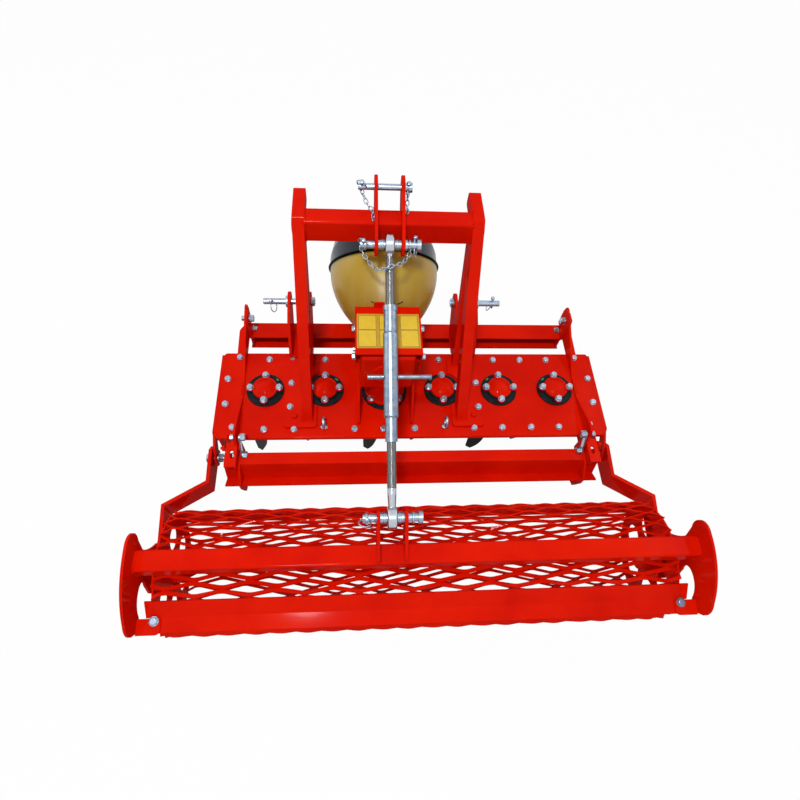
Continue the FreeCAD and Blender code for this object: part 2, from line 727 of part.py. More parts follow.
# lifting eyes bolted to the cover's rear edge
eyes = []
for x in (-316.0, 105.0):
    eye = Part.makeTorus(15, 4.5, V(x, -138, cover_top + 24), V(0, 1, 0))
    stem = rod((x, -138, cover_top), (0, 0, 1), 7, 9)
    pad = rod((x, -138, cover_top), (0, 0, 1), 13, 5)
    eyes.append(join([eye, stem, pad]))
put("lifting_eyes", Part.makeCompound(eyes))

# Rotors
seat_z = trough_bottom - seat_boss_h
carrier_top = seat_z - carrier_gap
for i, x in enumerate(rotor_x):
    turn = 60 if i % 2 == 0 else 30
    bar = box(x - carrier_half, x + carrier_half, -carrier_wide / 2, carrier_wide / 2,
        carrier_top - carrier_h, carrier_top)
    bar = round_z(bar, 8)
    boss = rod((x, 0, carrier_top - carrier_h), (0, 0, 1), carrier_wide * 0.66, carrier_h)
    axle = rod((x, 0, carrier_top - 1), (0, 0, 1), rotor_shaft_r, seat_z - carrier_top + rotor_shaft_in)
    hub = join([bar, boss, axle])
    tines = []
    for s in (-1, 1):
        r0 = carrier_half if s > 0 else -carrier_half - tine_thick
        w, tip, lean = tine_wide / 2, tine_tip_wide / 2, s * tine_sweep
        curve_a = Part.BSplineCurve()
        curve_a.interpolate([V(x + r0, s * w, carrier_top - carrier_h),
            V(x + r0, s * w * 0.8 - lean * 0.2, 70),
                             V(x + r0, s * tip - lean, 0)])
        curve_b = Part.BSplineCurve()
        curve_b.interpolate([V(x + r0, -s * tip - lean, 0), V(x + r0, -s * w * 0.9 - lean * 0.25, 80),
                             V(x + r0, -s * w, carrier_top - carrier_h)])
        top_a, top_b = V(x + r0, s * w, carrier_top), V(x + r0, -s * w, carrier_top)
        ea, eb = curve_a.toShape(), curve_b.toShape()
        pa, pb = V(x + r0, s * w, carrier_top - carrier_h), V(x + r0, -s * w, carrier_top - carrier_h)
        qa, qb = V(x + r0, s * tip - lean, 0), V(x + r0, -s * tip - lean, 0)
        wire = Part.Wire([Part.makeLine(top_a, pa), ea, Part.makeLine(qa, qb), eb, Part.makeLine(pb, top_b),
                          Part.makeLine(top_b, top_a)])
        tines.append(Part.Face(wire).extrude(V(tine_thick, 0, 0)))
    tine_pair = Part.makeCompound(tines)
    for s in (hub, tine_pair):
        s.rotate(V(x, 0, 0), V(0, 0, 1), turn)
    put("rotor_%d_hub" % (i + 1), hub)
    put("rotor_%d_tines" % (i + 1), tine_pair)

# Roller frame
ax0, ax1 = arm_x, arm_x + arm_thick
ex0, ex1 = arm_end_x, arm_end_x + arm_thick
nose = pivot_y + arm_nose_r
bend1, bend2 = pivot_y - arm_bend1, pivot_y - arm_bend2
rise_y = drum_y + arm_rise_run
plan = [
    (ax0, nose), (ax1, nose), (ax1, bend1 + 5), (ex1, bend2 + 5), (ex1, drum_y - lobe_r),
    (ex0, drum_y - lobe_r), (ex0, bend2 - 2), (ax0, bend1 - 2),
]
strip = plate_z(plan, 0, drum_z + 3 * drum_r)
top_front = pivot_z + arm_nose_r + 14
low_front = top_front - arm_h
side_shape = plate_x([
    (nose, top_front - 24), (nose - 24, top_front), (bend2, top_front - 22), (rise_y, top_front - 46),
    (drum_y - 10, drum_z + lobe_r - 8), (drum_y - 10, drum_z - lobe_r + 6), (rise_y, low_front - 30),
    (bend1, low_front), (nose - 24, low_front), (nose, low_front + 24)], ax0, ex1)
lobe = rod((ax0, drum_y, drum_z), (1, 0, 0), lobe_r, ex1 - ax0)
arm = strip.common(join([side_shape, lobe]))
arm = arm.cut(rod((arm_x - 1, pivot_y, pivot_z), (1, 0, 0), pivot_r + shaft_gap, arm_thick + 2))
arm = arm.cut(rod((arm_end_x - 1, drum_y, drum_z), (1, 0, 0), stub_r + 6, arm_thick + 2))
put("roller_arm_right", arm)
put("roller_arm_left", mirror(arm))

px0, px1 = arm_end_x - end_plate_thick, arm_end_x


def arc(a, b, c):
    return Part.Arc(*[V(px0, drum_y + y, drum_z + z) for y, z in (a, b, c)]).toShape()


def line(a, b):
    return Part.makeLine(V(px0, drum_y + a[0], drum_z + a[1]), V(px0, drum_y + b[0], drum_z + b[1]))


# outline of the end plate from the drum's axis: up the front, over the beam, down the back and round the scraper
reach = plate_reach
edges = [
    line((lobe_r, 0), (70, 95)),
    arc((70, 95), (41, 145), (23, 210)),
    line((23, 210), (38, 253)),
    arc((38, 253), (38, 311), (-2, 325)),
    arc((-2, 325), (-110, 297), (-186, 237)),
    arc((-186, 237), (3 - reach, 209), (-reach, 179)),
    line((-reach, 179), (12 - reach, 149)),
    arc((12 - reach, 149), (-172, 139), (-152, 149)),
    arc((-152, 149), (-126, 177), (-86, 185)),
    arc((-86, 185), (-62, 171), (-65, 135)),
    line((-65, 135), (-78, 87)),
    line((-78, 87), (-lobe_r, 0)),
    arc((-lobe_r, 0), (0, -lobe_r), (lobe_r, 0)),
]
end_plate = Part.Face(Part.Wire(edges)).extrude(V(end_plate_thick, 0, 0))
end_plate = end_plate.cut(rod((px0 - 1, drum_y, drum_z), (1, 0, 0), stub_r + 6, end_plate_thick + 2))

roller_beam = box(-px0, px0, beam_y - beam / 2, beam_y + beam / 2, beam_top - beam, beam_top)
roller_beam = round_x(roller_beam, 7)
put("roller_beam", roller_beam)

lug_pts = [
    (beam_y - beam / 2 + 2, beam_top), (beam_y - beam / 2 + 8, beam_top + 14),
    (adj_low_y - 16, adj_low_z + lug_r - 3),
    (adj_low_y + 10, adj_low_z + lug_r - 2), (adj_low_y + lug_r, adj_low_z + 8),
    (adj_low_y + lug_r - 2, adj_low_z - 14),
    (adj_low_y + 4, adj_low_z - lug_r), (beam_y + beam / 2 + 6, beam_top - 44),
    (beam_y + beam / 2, beam_top - 50),
    (beam_y + beam / 2, beam_top),
]
lug = plate_x(lug_pts, hitch_x + lug_gap, hitch_x + lug_gap + lug_thick)
lug = round_x(lug, 5, lambda p: p.y > beam_y + beam / 2 + 8)
lug = lug.cut(roller_beam)
lug = lug.cut(rod((hitch_x, adj_low_y, adj_low_z), (1, 0, 0), adj_pin_r, 100))
put("adjuster_lugs", both(lug))
low_pin = join([
    rod((hitch_x - adj_pin_left + 4, adj_low_y, adj_low_z), (1, 0, 0), adj_pin_r,
    adj_pin_left + adj_pin_right - 4),
    rod((hitch_x + adj_pin_right - 12, adj_low_y, adj_low_z), (1, 0, 0), adj_pin_r * 1.5, 12),
] + spacers(adj_low_y, adj_low_z, spacer_r, lug_gap))
put("adjuster_low_pin", low_pin)

# scraper: a bar folded once along its length, bolted under a tab on each end plate
band = [(scraper_y + scraper_front_run, scraper_z + scraper_front_rise), (scraper_y, scraper_z),
        (scraper_y - scraper_rear_run, scraper_z - scraper_rear_drop)]
scraper_outline = fold_band(band, -scraper_thick)
put("scraper_bar", plate_x(scraper_outline, -scraper_half, scraper_half))
fold_top, rear_top = scraper_outline[4], scraper_outline[3]
past = scraper_tab_past / scraper_rear_run
tab_end = (rear_top[0] + (rear_top[0] - fold_top[0]) * past,
    rear_top[1] + (rear_top[1] - fold_top[1]) * past)
tab_line = [(fold_top[0] - 2, fold_top[1] - 2 * scraper_rear_drop / scraper_rear_run), tab_end]
tab = plate_x(fold_band(tab_line, -scraper_thick), px0 - scraper_tab, px0)
inner_corner = [e for e in tab.Edges if abs(e.BoundBox.XMax - px0 + scraper_tab) < 0.01 and
                e.BoundBox.YMax < fold_top[0] - scraper_rear_run / 2]
tab = tab.makeFillet(scraper_tab_round, inner_corner)
put("roller_end_plate_right", join([end_plate, tab]))
put("roller_end_plate_left", mirror(join([end_plate, tab])))

bearing = rod((px0 - bearing_thick, drum_y, drum_z), (1, 0, 0), bearing_r, bearing_thick)
bearing = bearing.cut(rod((px0 - bearing_thick - 1, drum_y, drum_z), (1, 0, 0), stub_r + shaft_gap,
    bearing_thick + 2))
put("drum_bearings", Part.makeCompound([bearing, mirror(bearing)]))

# Drum: rows of zigzag strands from expanded sheet. Each row is flat and leans, so that its front edge stands
# proud of the next row; the rows meet at the knots, on the planes half way between them.
step = 2 * math.pi / mesh_rows
pitch = 2 * drum_half / mesh_pitches
half_tan = math.tan(step / 2)
lean = math.tan(math.radians(mesh_tilt))
row_out = drum_r * math.cos(step / 2) * (1 - lean * half_tan)
row_in = row_out - mesh_thick


def edge_u(row_r, s):
    # distance of a row's front (s = 1) or back (s = -1) edge from its middle line
    return s * row_r * half_tan / (1 - s * lean * half_tan)


def height(row_r, u):
    return row_r + lean * u


proud = height(row_out, edge_u(row_out, 1))
run = pitch / 2 - mesh_knot / 2
slope = run / (edge_u(row_out, 1) - edge_u(row_out, -1) - mesh_strand)


def knot_half(r):
    # half the length of a knot at a height; the knots widen inwards
    return mesh_knot / 2 + slope * half_tan * (proud - r)


def strand_edge(s, first):
    # one long edge of a row as (x, u) outside and inside, knots and tips in turn, cut off at the drum's ends
    rim = []
    for j in range(-1, 2 * mesh_pitches + 1):
        x = -drum_half + pitch / 4 + j * pitch / 2
        u_out, u_in = edge_u(row_out, s), edge_u(row_in, s)
        h_out, h_in = knot_half(height(row_out, u_out)), knot_half(height(row_in, u_in))
        if ((j + first) % 2 == 0) == (s > 0):
            rim.append((x - h_out, u_out, x - h_in, u_in))
            rim.append((x + h_out, u_out, x + h_in, u_in))
        else:
            tip = u_out - s * (pitch / 2 - h_out) / slope
            rim.append((x, tip, x, tip))
    inside = [p for p in rim if abs(p[0]) < drum_half]
    before = rim[rim.index(inside[0]) - 1]
    after = rim[rim.index(inside[-1]) + 1]

    def cut_off(p, q, end):
        out = p[1] + (q[1] - p[1]) * (end - p[0]) / (q[0] - p[0])
        inner = p[3] + (q[3] - p[3]) * (end - p[2]) / (q[2] - p[2])
        return (end, out, end, inner)

    return [cut_off(before, inside[0], -drum_half)] + inside + [cut_off(inside[-1], after, drum_half)]


centre = V(0, drum_y, drum_z)
faces = []


def add_face(points):
    faces.append(Part.Face(Part.makePolygon(points + [points[0]])))


for row in range(mesh_rows):
    a = row * step + math.radians(mesh_turn)
    rad, tan = V(0, math.sin(a), math.cos(a)), V(0, math.cos(a), -math.sin(a))

    def spot(x, u, r):
        return centre + rad * r + tan * u + V(x, 0, 0)

    front, back = strand_edge(1, row % 2), strand_edge(-1, row % 2)
    for k, base in ((0, row_out), (2, row_in)):
        loop = [(p[k], p[k + 1]) for p in front] + [(p[k], p[k + 1]) for p in back[::-1]]
        add_face([spot(x, u, height(base, u)) for x, u in loop])
    low_top = height(row_out, edge_u(row_out, -1))
    high_bottom = height(row_in, edge_u(row_in, 1))
    for s, rim in ((1, front), (-1, back)):
        # at a knot this is the height where the next row's skin crosses the side of the strand
        cross = low_top if s > 0 else high_bottom
        cross_u = s * cross * half_tan
        for p, q in zip(rim, rim[1:]):
            po, pi = spot(p[0], p[1], height(row_out, p[1])), spot(p[2], p[3], height(row_in, p[3]))
            qo, qi = spot(q[0], q[1], height(row_out, q[1])), spot(q[2], q[3], height(row_in, q[3]))
            p_knot, q_knot = abs(p[1] - edge_u(row_out, s)) < 1e-9, abs(q[1] - edge_u(row_out, s)) < 1e-9
            middle = (p[0] + q[0]) / 2
            spread = knot_half(cross)
            if p_knot and q_knot:
                left, right = spot(middle - spread, cross_u, cross), spot(middle + spread, cross_u, cross)
                add_face([po, qo, right, left] if s > 0 else [left, right, qi, pi])
            elif p_knot:
                add_face([po, qo, qi, pi,
                    spot(p[0] - knot_half(height(row_out, p[1])) + spread, cross_u, cross)])
            elif q_knot:
                add_face([po, qo, spot(q[0] + knot_half(height(row_out, q[1])) - spread, cross_u, cross),
                    qi, pi])
            else:
                add_face([po, qo, qi, pi])
    for end in (0, -1):
        f, b = front[end], back[end]
        add_face([spot(f[0], f[1], height(row_out, f[1])), spot(b[0], b[1], height(row_out, b[1])),
                  spot(b[2], b[3], height(row_in, b[3])), spot(f[2], f[3], height(row_in, f[3]))])
mesh_shell = Part.Shell(Part.makeShell(faces).Faces)
mesh_shell.sewShape()
mesh = Part.Solid(mesh_shell)
if mesh.Volume < 0:
    mesh.reverse()
put("drum_mesh", mesh)

# end discs with round windows, hub and stub shaft
disc_r = height(row_in, edge_u(row_in, -1)) / math.cos(step / 2) - 0.3
discs = []
for x0 in (drum_half - disc_thick, -drum_half):
    d = rod((x0, drum_y, drum_z), (1, 0, 0), disc_r, disc_thick)
    for k in range(disc_holes):
        a = 2 * math.pi * k / disc_holes
        r = (hub_r + disc_r) / 2
        at = (x0 - 1, drum_y + r * math.sin(a), drum_z + r * math.cos(a))
        d = d.cut(rod(at, (1, 0, 0), disc_hole_r, disc_thick + 2))
    s = 1 if x0 > 0 else -1
    hub = rod((s * (drum_half - 40), drum_y, drum_z), (s, 0, 0), hub_r, 40)
    stub = rod((s * (drum_half - 20), drum_y, drum_z), (s, 0, 0), stub_r, px0 - drum_half + 20 - 0.5)
    discs.append(join([d, hub, stub]))
put("drum_discs", Part.makeCompound(discs))

# Adjuster: ball-ended rods in a barrel
ady, adz = adj_low_y - adj_top_y, adj_low_z - adj_top_z
adj_len = math.hypot(ady, adz)
adir = V(0, ady / adj_len, adz / adj_len)
top_at = V(hitch_x, adj_top_y, adj_top_z)


def along(s0, s1, r0, r1=None):
    p = top_at + adir * s0
    if r1 is None:
        return Part.makeCylinder(r0, s1 - s0, p, adir)
    return Part.makeCone(r0, r1, s1 - s0, p, adir)


def ball_eye(at):
    ring = Part.makeCylinder(eye_r, eye_thick, at - V(eye_thick / 2, 0, 0), V(1, 0, 0))
    edges = [e for e in ring.Edges if abs(e.BoundBox.XLength) < 0.01]
    ring = ring.makeFillet(5, edges)
    return ring


hole = Part.makeCylinder(adj_pin_r + eye_gap, 100, top_at - V(50, 0, 0), V(1, 0, 0))
upper = join([ball_eye(top_at), along(eye_r - 12, 70, 11, rod_r), along(70, rod_in, rod_r)]).cut(hole)
put("adjuster_upper_rod", upper)

low_at = top_at + adir * adj_len
hole = Part.makeCylinder(adj_pin_r + open_eye_gap, 100, low_at - V(50, 0, 0), V(1, 0, 0))
lower = join([ball_eye(low_at), along(adj_len - 66, adj_len - eye_r + 12, rod_r, 10),
              along(lower_rod_out, adj_len - 66, rod_r)]).cut(hole)
put("adjuster_lower_rod", lower)

bore = along(-200, adj_len + 200, rod_r + rod_gap)
barrel = join([
    along(sleeve_at, body_at - 6, sleeve_r), along(body_at - 6, body_at, sleeve_r, body_r),
    along(body_at, body_end - 6, body_r), along(body_end - 6, body_end, body_r, tail_r),
    along(body_end, tail_end, tail_r),
]).cut(bore)
put("adjuster_barrel", barrel)
put("adjuster_locknut", along(nut_at, nut_at + nut_len,
    nut_r).fuse(along(nut_at + nut_len, sleeve_at, sleeve_r)).cut(bore))
grip_at = top_at + adir * handle_at
nose_in = body_r - 1
grips = [Part.makeCylinder(handle_r, handle_right - nose_in, grip_at + V(nose_in, 0, 0), V(1, 0, 0)),
         Part.makeCylinder(handle_r, handle_left - nose_in, grip_at - V(handle_left, 0, 0), V(1, 0, 0))]
put("adjuster_handle", Part.makeCompound([g.cut(barrel) for g in grips]))

for name, shape in nodes.items():
    shape.exportStep("parts/%s.step" % name)
print(len(nodes), "nodes")
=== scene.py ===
import json
from math import cos, pi, radians, sin
import bmesh
import bpy
from mathutils import Matrix, Vector


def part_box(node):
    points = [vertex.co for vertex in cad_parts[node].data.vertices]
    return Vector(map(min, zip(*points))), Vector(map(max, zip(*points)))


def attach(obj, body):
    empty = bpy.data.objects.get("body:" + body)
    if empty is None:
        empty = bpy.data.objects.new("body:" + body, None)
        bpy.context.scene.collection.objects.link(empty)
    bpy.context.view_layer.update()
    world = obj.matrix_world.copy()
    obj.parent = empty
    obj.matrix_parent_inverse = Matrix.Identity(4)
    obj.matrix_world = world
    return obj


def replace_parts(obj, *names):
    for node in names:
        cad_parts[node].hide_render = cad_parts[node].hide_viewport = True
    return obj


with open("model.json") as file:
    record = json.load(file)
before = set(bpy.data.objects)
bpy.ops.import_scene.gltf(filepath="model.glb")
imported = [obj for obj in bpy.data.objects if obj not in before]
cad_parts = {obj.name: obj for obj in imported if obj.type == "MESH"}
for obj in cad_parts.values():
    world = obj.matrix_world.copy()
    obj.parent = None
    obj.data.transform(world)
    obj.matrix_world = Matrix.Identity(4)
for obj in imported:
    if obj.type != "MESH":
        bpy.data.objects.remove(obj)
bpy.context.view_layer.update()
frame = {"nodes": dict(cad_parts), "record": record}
scene = bpy.context.scene
print("frame loaded:", len(frame["nodes"]), "nodes")


# Nodes: materials and geometry trees are both built with these
def fill(tree, made, inputs):
    for key, value in inputs.items():
        if isinstance(value, bpy.types.NodeSocket):
            tree.links.new(value, made.inputs[key])
        else:
            made.inputs[key].default_value = value


def node(tree, kind, inputs=None, **settings):
    made = tree.nodes.new(kind)
    for key, value in settings.items():
        setattr(made, key, value)
    fill(tree, made, inputs or {})
    return made


def calc(tree, operation, a, b=0.0):
    return node(tree, "ShaderNodeMath", {0: a, 1: b}, operation=operation).outputs[0]


# Materials: each one reads Object coordinates, which are the machine's own metres
def startMaterial(name):
    mat = bpy.data.materials.new(name)
    mat.use_nodes = True
    tree = mat.node_tree
    tree.nodes.clear()
    out = node(tree, "ShaderNodeOutputMaterial")
    shader = node(tree, "ShaderNodeBsdfPrincipled")
    tree.links.new(shader.outputs[0], out.inputs[0])
    return mat, tree, shader, node(tree, "ShaderNodeTexCoord").outputs["Object"]


def noise(tree, place, scale, detail=3.0, rough=0.55):
    sizes = {"Scale": scale, "Detail": detail, "Roughness": rough, "Vector": place}
    return node(tree, "ShaderNodeTexNoise", sizes).outputs["Fac"]


def ramp(tree, factor, stops):
    made = node(tree, "ShaderNodeValToRGB", {0: factor})
    points = made.color_ramp.elements
    while len(points) < len(stops):
        points.new(0.5)
    for point, (at, colour) in zip(points, stops):
        point.position = at
        point.color = (*colour, 1) if isinstance(colour, tuple) else (colour, colour, colour, 1)
    return made.outputs["Color"]


def blendColour(tree, factor, a, b):
    a, b = ((*value, 1) if isinstance(value, tuple) else value for value in (a, b))
    return node(tree, "ShaderNodeMix", {0: factor, 6: a, 7: b}, data_type="RGBA").outputs[2]


def scaleAdd(tree, value, scale, start):
    return calc(tree, "ADD", calc(tree, "MULTIPLY", value, scale), start)


def bump(tree, height, distance, strength, edge=None):
    made = node(tree, "ShaderNodeBump", {"Strength": strength, "Distance": distance, "Height": height})
    if edge:  # radius that the corners catch the light with
        rounded = node(tree, "ShaderNodeBevel", {"Radius": edge}, samples=4)
        tree.links.new(rounded.outputs[0], made.inputs["Normal"])
    return made.outputs[0]


paint = {
    "deep": (0.60, 0.0052, 0.0003), "body": (0.68, 0.0080, 0.0003), "bright": (0.74, 0.0120, 0.0004),
    "dust": (0.60, 0.10, 0.06), "gloss": 0.17, "edge": 0.0020, "orangePeel": 0.55, "coat": 0.05,
}


def redPaint(name):
    mat, tree, shader, place = startMaterial(name)
    stops = ((0.30, paint["deep"]), (0.50, paint["body"]), (0.75, paint["bright"]))
    tone = ramp(tree, noise(tree, place, 5.5, 4.0), stops)
    speck = ramp(tree, noise(tree, place, 420.0, 2.0, 0.7), ((0.70, 0.0), (0.76, 1.0)))
    patch = ramp(tree, noise(tree, place, 9.0, 2.0), ((0.56, 0.0), (0.70, 0.35)))
    dusty = blendColour(tree, calc(tree, "MULTIPLY", speck, patch), tone, paint["dust"])
    stretched = node(tree, "ShaderNodeMapping", {"Scale": (14, 14, 5), "Vector": place})
    runs = noise(tree, stretched.outputs[0], 1.0, 2.0)
    orange = calc(tree, "MULTIPLY", noise(tree, place, 250.0, 2.0), paint["orangePeel"])
    skin = calc(tree, "ADD", orange, runs)
    fill(tree, shader, {
        "Base Color": dusty, "Roughness": scaleAdd(tree, noise(tree, place, 38.0, 4.0), 0.16, paint["gloss"]),
        "Normal": bump(tree, skin, 0.0009, 0.22, paint["edge"]), "Specular IOR Level": 0.0,
        "Coat Weight": paint["coat"], "Coat IOR": 1.7, "Coat Roughness": 0.08,
    })
    return mat


def metal(name, light, dark, gloss, grain, patchScale, blotch=None):
    mat, tree, shader, place = startMaterial(name)
    tone = ramp(tree, noise(tree, place, patchScale, 5.0, 0.65), ((0.32, dark), (0.62, light)))
    if blotch:
        spots = ramp(tree, noise(tree, place, patchScale * 0.35, 3.0), ((0.56, 0.0), (0.74, 0.7)))
        tone = blendColour(tree, spots, tone, blotch)
    fine = noise(tree, place, grain, 3.0, 0.7)
    fill(tree, shader, {
        "Base Color": tone, "Roughness": scaleAdd(tree, fine, 0.22, gloss),
        "Normal": bump(tree, fine, 0.0004, 0.4, 0.0006), "Metallic": 1.0,
    })
    return mat


rod = {
    "light": (0.20, 0.205, 0.205), "dark": (0.10, 0.102, 0.104), "eye": (0.55, 0.60, 0.66),
    "pitch": 0.003, "gloss": 0.13, "threadDeep": 0.0005,
}


def threadedRod(name, axis, eyeAt, eyeReach):
    # threaded steel, with the plain pale eye at its end within eyeReach
    mat, tree, shader, place = startMaterial(name)
    streaks = noise(tree, place, 190.0, 3.0)
    steel = ramp(tree, streaks, ((0.25, rod["dark"]), (0.75, rod["light"])))
    away = node(tree, "ShaderNodeVectorMath", {0: place, 1: eyeAt}, operation="DISTANCE").outputs["Value"]
    plain = ramp(tree, calc(tree, "DIVIDE", away, eyeReach * 2), ((0.49, 1.0), (0.51, 0.0)))
    shade = tuple(c * 0.6 for c in rod["eye"])
    pale = blendColour(tree, calc(tree, "MULTIPLY", streaks, 0.5), rod["eye"], shade)
    reach = node(tree, "ShaderNodeVectorMath", {0: place, 1: axis}, operation="DOT_PRODUCT").outputs["Value"]
    turns = calc(tree, "SINE", calc(tree, "MULTIPLY", reach, 2 * pi / rod["pitch"]))
    thread = calc(tree, "MULTIPLY", turns, calc(tree, "SUBTRACT", 1.0, plain))
    fill(tree, shader, {
        "Base Color": blendColour(tree, plain, steel, pale),
        "Roughness": scaleAdd(tree, streaks, 0.2, rod["gloss"]),
        "Normal": bump(tree, thread, rod["threadDeep"], 0.3, 0.0006), "Metallic": 1.0,
    })
    return mat


def castIron(name):
    mat, tree, shader, place = startMaterial(name)
    stops = ((0.35, (0.004, 0.007, 0.009)), (0.7, (0.013, 0.020, 0.025)))
    pits, lumps = noise(tree, place, 900.0, 3.0), noise(tree, place, 120.0, 2.0)
    fill(tree, shader, {
        "Base Color": ramp(tree, noise(tree, place, 70.0, 4.0), stops),
        "Roughness": scaleAdd(tree, lumps, 0.35, 0.28),
        "Normal": bump(tree, calc(tree, "ADD", pits, lumps), 0.0010, 0.45, 0.0012),
        "Specular IOR Level": 0.10,
    })
    return mat


def tineSteel(name):
    mat, tree, shader, place = startMaterial(name)
    stops = ((0.35, (0.0020, 0.0020, 0.0024)), (0.62, (0.0045, 0.0045, 0.0050)), (0.8, (0.012, 0.010, 0.009)))
    scale = noise(tree, place, 260.0, 4.0)
    fill(tree, shader, {
        "Base Color": ramp(tree, noise(tree, place, 24.0, 5.0), stops),
        "Roughness": scaleAdd(tree, scale, 0.3, 0.30),
        "Normal": bump(tree, scale, 0.0008, 0.5, 0.0015), "Specular IOR Level": 0.03,
    })
    return mat


# guard colours: "throat" is the yellow with painted shade, "deep" is the plastic's own yellow, "pale" is the
# yellow with painted light
guard = {"pale": (0.37, 0.30, 0.085), "deep": (0.46, 0.32, 0.030), "throat": (0.34, 0.20, 0.008)}


def guardPlasticPaintedLightShade(name, throatY, seamY):
    # yellow darkened by painted shade at the throat, the plastic's own deep yellow in the middle, and paler
    # with painted light towards the seam
    mat, tree, shader, place = startMaterial(name)
    along = node(tree, "ShaderNodeSeparateXYZ", {0: place}).outputs["Y"]
    reach = calc(tree, "DIVIDE", calc(tree, "SUBTRACT", along, throatY), seamY - throatY)
    drift = calc(tree, "MULTIPLY", calc(tree, "SUBTRACT", noise(tree, place, 9.0, 2.0), 0.5), 0.18)
    stops = ((0.10, guard["throat"]), (0.42, guard["deep"]), (0.60, guard["deep"]), (0.72, guard["pale"]))
    cloud = noise(tree, place, 45.0, 4.0)
    fill(tree, shader, {
        "Base Color": ramp(tree, calc(tree, "ADD", reach, drift), stops),
        "Roughness": scaleAdd(tree, cloud, 0.14, 0.30),
        "Normal": bump(tree, cloud, 0.0008, 0.3), "Subsurface Weight": 0.25, "Subsurface Scale": 0.02,
    })
    return mat


def glossyRubberPaintedReflection(name):
    mat, tree, shader, place = startMaterial(name)
    cloud = noise(tree, place, 30.0, 4.0)
    # near-black rubber, with a blue tint that is a painted reflection
    stops = ((0.35, (0.003, 0.010, 0.024)), (0.7, (0.008, 0.022, 0.052)))
    fill(tree, shader, {
        "Base Color": ramp(tree, cloud, stops), "Roughness": scaleAdd(tree, cloud, 0.15, 0.17),
        "Normal": bump(tree, noise(tree, place, 260.0, 2.0), 0.0004, 0.3, 0.002), "Specular IOR Level": 0.28,
    })
    return mat


def plainFilm(name, base, spread):
    mat, tree, shader, place = startMaterial(name)
    cloud = noise(tree, place, 60.0, 3.0)
    low = tuple(c * (1 - spread) for c in base)
    fill(tree, shader, {
        "Base Color": ramp(tree, cloud, ((0.3, low), (0.7, base))),
        "Roughness": scaleAdd(tree, cloud, 0.2, 0.28),
        "Normal": bump(tree, noise(tree, place, 500.0, 2.0), 0.0002, 0.3),
    })
    return mat


def boxMiddle(name):
    low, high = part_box(name)
    return [(a + b) / 2 for a, b in zip(low, high)]


guardLow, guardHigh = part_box("pto_guard")
zincBlotch, dullBlotch = (0.40, 0.38, 0.31), (0.33, 0.33, 0.30)
finishes = {
    "red_paint": redPaint("red powder paint"),
    "zinc": metal("bright zinc", (0.42, 0.52, 0.64), (0.26, 0.33, 0.42), 0.22, 700.0, 110.0, zincBlotch),
    "dull_zinc": metal("dull zinc", (0.27, 0.345, 0.44), (0.17, 0.22, 0.29), 0.20, 600.0, 60.0, dullBlotch),
    "bare_steel": metal("drawn steel", (0.50, 0.51, 0.53), (0.26, 0.27, 0.29), 0.18, 520.0, 30.0),
    "black_cast": castIron("black cast iron"),
    "tine_steel": tineSteel("forged tine steel"),
    "yellow_plastic": guardPlasticPaintedLightShade("yellow guard plastic", guardLow[1], guardHigh[1]),
    "black_rubber": glossyRubberPaintedReflection("black guard rubber"),
}
labelFilm = plainFilm("yellow label film", (0.76, 0.51, 0.030), 0.10)
paleFilm = plainFilm("deep yellow label border", (0.56, 0.34, 0.024), 0.12)
lineFilm = plainFilm("dark label line", (0.16, 0.085, 0.010), 0.20)
markPaint = plainFilm("green marking paint", (0.01, 0.34, 0.10), 0.35)

slotOf = {part["node"]: part["material_slot"] for part in frame["record"]["subparts"]}
dullNodes = ("adjuster_barrel", "adjuster_locknut", "adjuster_handle")
for name, carried in frame["nodes"].items():
    for place in carried.material_slots:
        place.material = finishes["dull_zinc" if name in dullNodes else slotOf[name]]
eyeTop, eyeLow = boxMiddle("adjuster_top_pin"), boxMiddle("adjuster_low_pin")
eyeTop[0] = eyeLow[0] = boxMiddle("pto_guard_collar")[0]
screwLine = tuple((Vector(eyeLow) - Vector(eyeTop)).normalized())
for name, eyeAt, eyeReach in (("adjuster_upper_rod", eyeTop, 0.040), ("adjuster_lower_rod", eyeLow, 0.085)):
    for place in frame["nodes"][name].material_slots:
        place.material = threadedRod(name.replace("_", " ") + " steel", screwLine, tuple(eyeAt), eyeReach)
print("materials set on the carried nodes")


# Making of pieces
def addPiece(name, mesh, body, slotName, material=None):
    piece = bpy.data.objects.new(name, mesh)
    scene.collection.objects.link(piece)
    mesh.materials.clear()
    mesh.materials.append(material or finishes[slotName])
    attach(piece, body)
    return piece


def newMesh(name, verts, edges, faces, smooth=False):
    mesh = bpy.data.meshes.new(name)
    mesh.from_pydata([tuple(v) for v in verts], edges, faces)
    if smooth:
        mesh.shade_smooth()
    return mesh


def newTree(name, sockets):
    tree = bpy.data.node_groups.new(name, "GeometryNodeTree")
    tree.interface.new_socket("Geometry", in_out="INPUT", socket_type="NodeSocketGeometry")
    for label, kind in sockets + [("Material", "Material")]:
        tree.interface.new_socket(label, in_out="INPUT", socket_type="NodeSocket" + kind)
    tree.interface.new_socket("Geometry", in_out="OUTPUT", socket_type="NodeSocketGeometry")
    return tree, node(tree, "NodeGroupInput").outputs, node(tree, "NodeGroupOutput")


def runTree(name, mesh, tree, values, body, slotName, material=None):
    material = material or finishes[slotName]
    holder = bpy.data.objects.new(name, mesh)
    scene.collection.objects.link(holder)
    modifier = holder.modifiers.new("build", "NODES")
    modifier.node_group = tree
    for item in tree.interface.items_tree:
        if item.in_out == "INPUT" and item.name in values:
            modifier[item.identifier] = values[item.name]
        elif item.in_out == "INPUT" and item.name == "Material":
            modifier[item.identifier] = material
    bpy.context.view_layer.update()
    depsgraph = bpy.context.evaluated_depsgraph_get()
    made = bpy.data.meshes.new_from_object(holder.evaluated_get(depsgraph))
    bpy.data.objects.remove(holder)
    return addPiece(name, made, body, slotName, material)


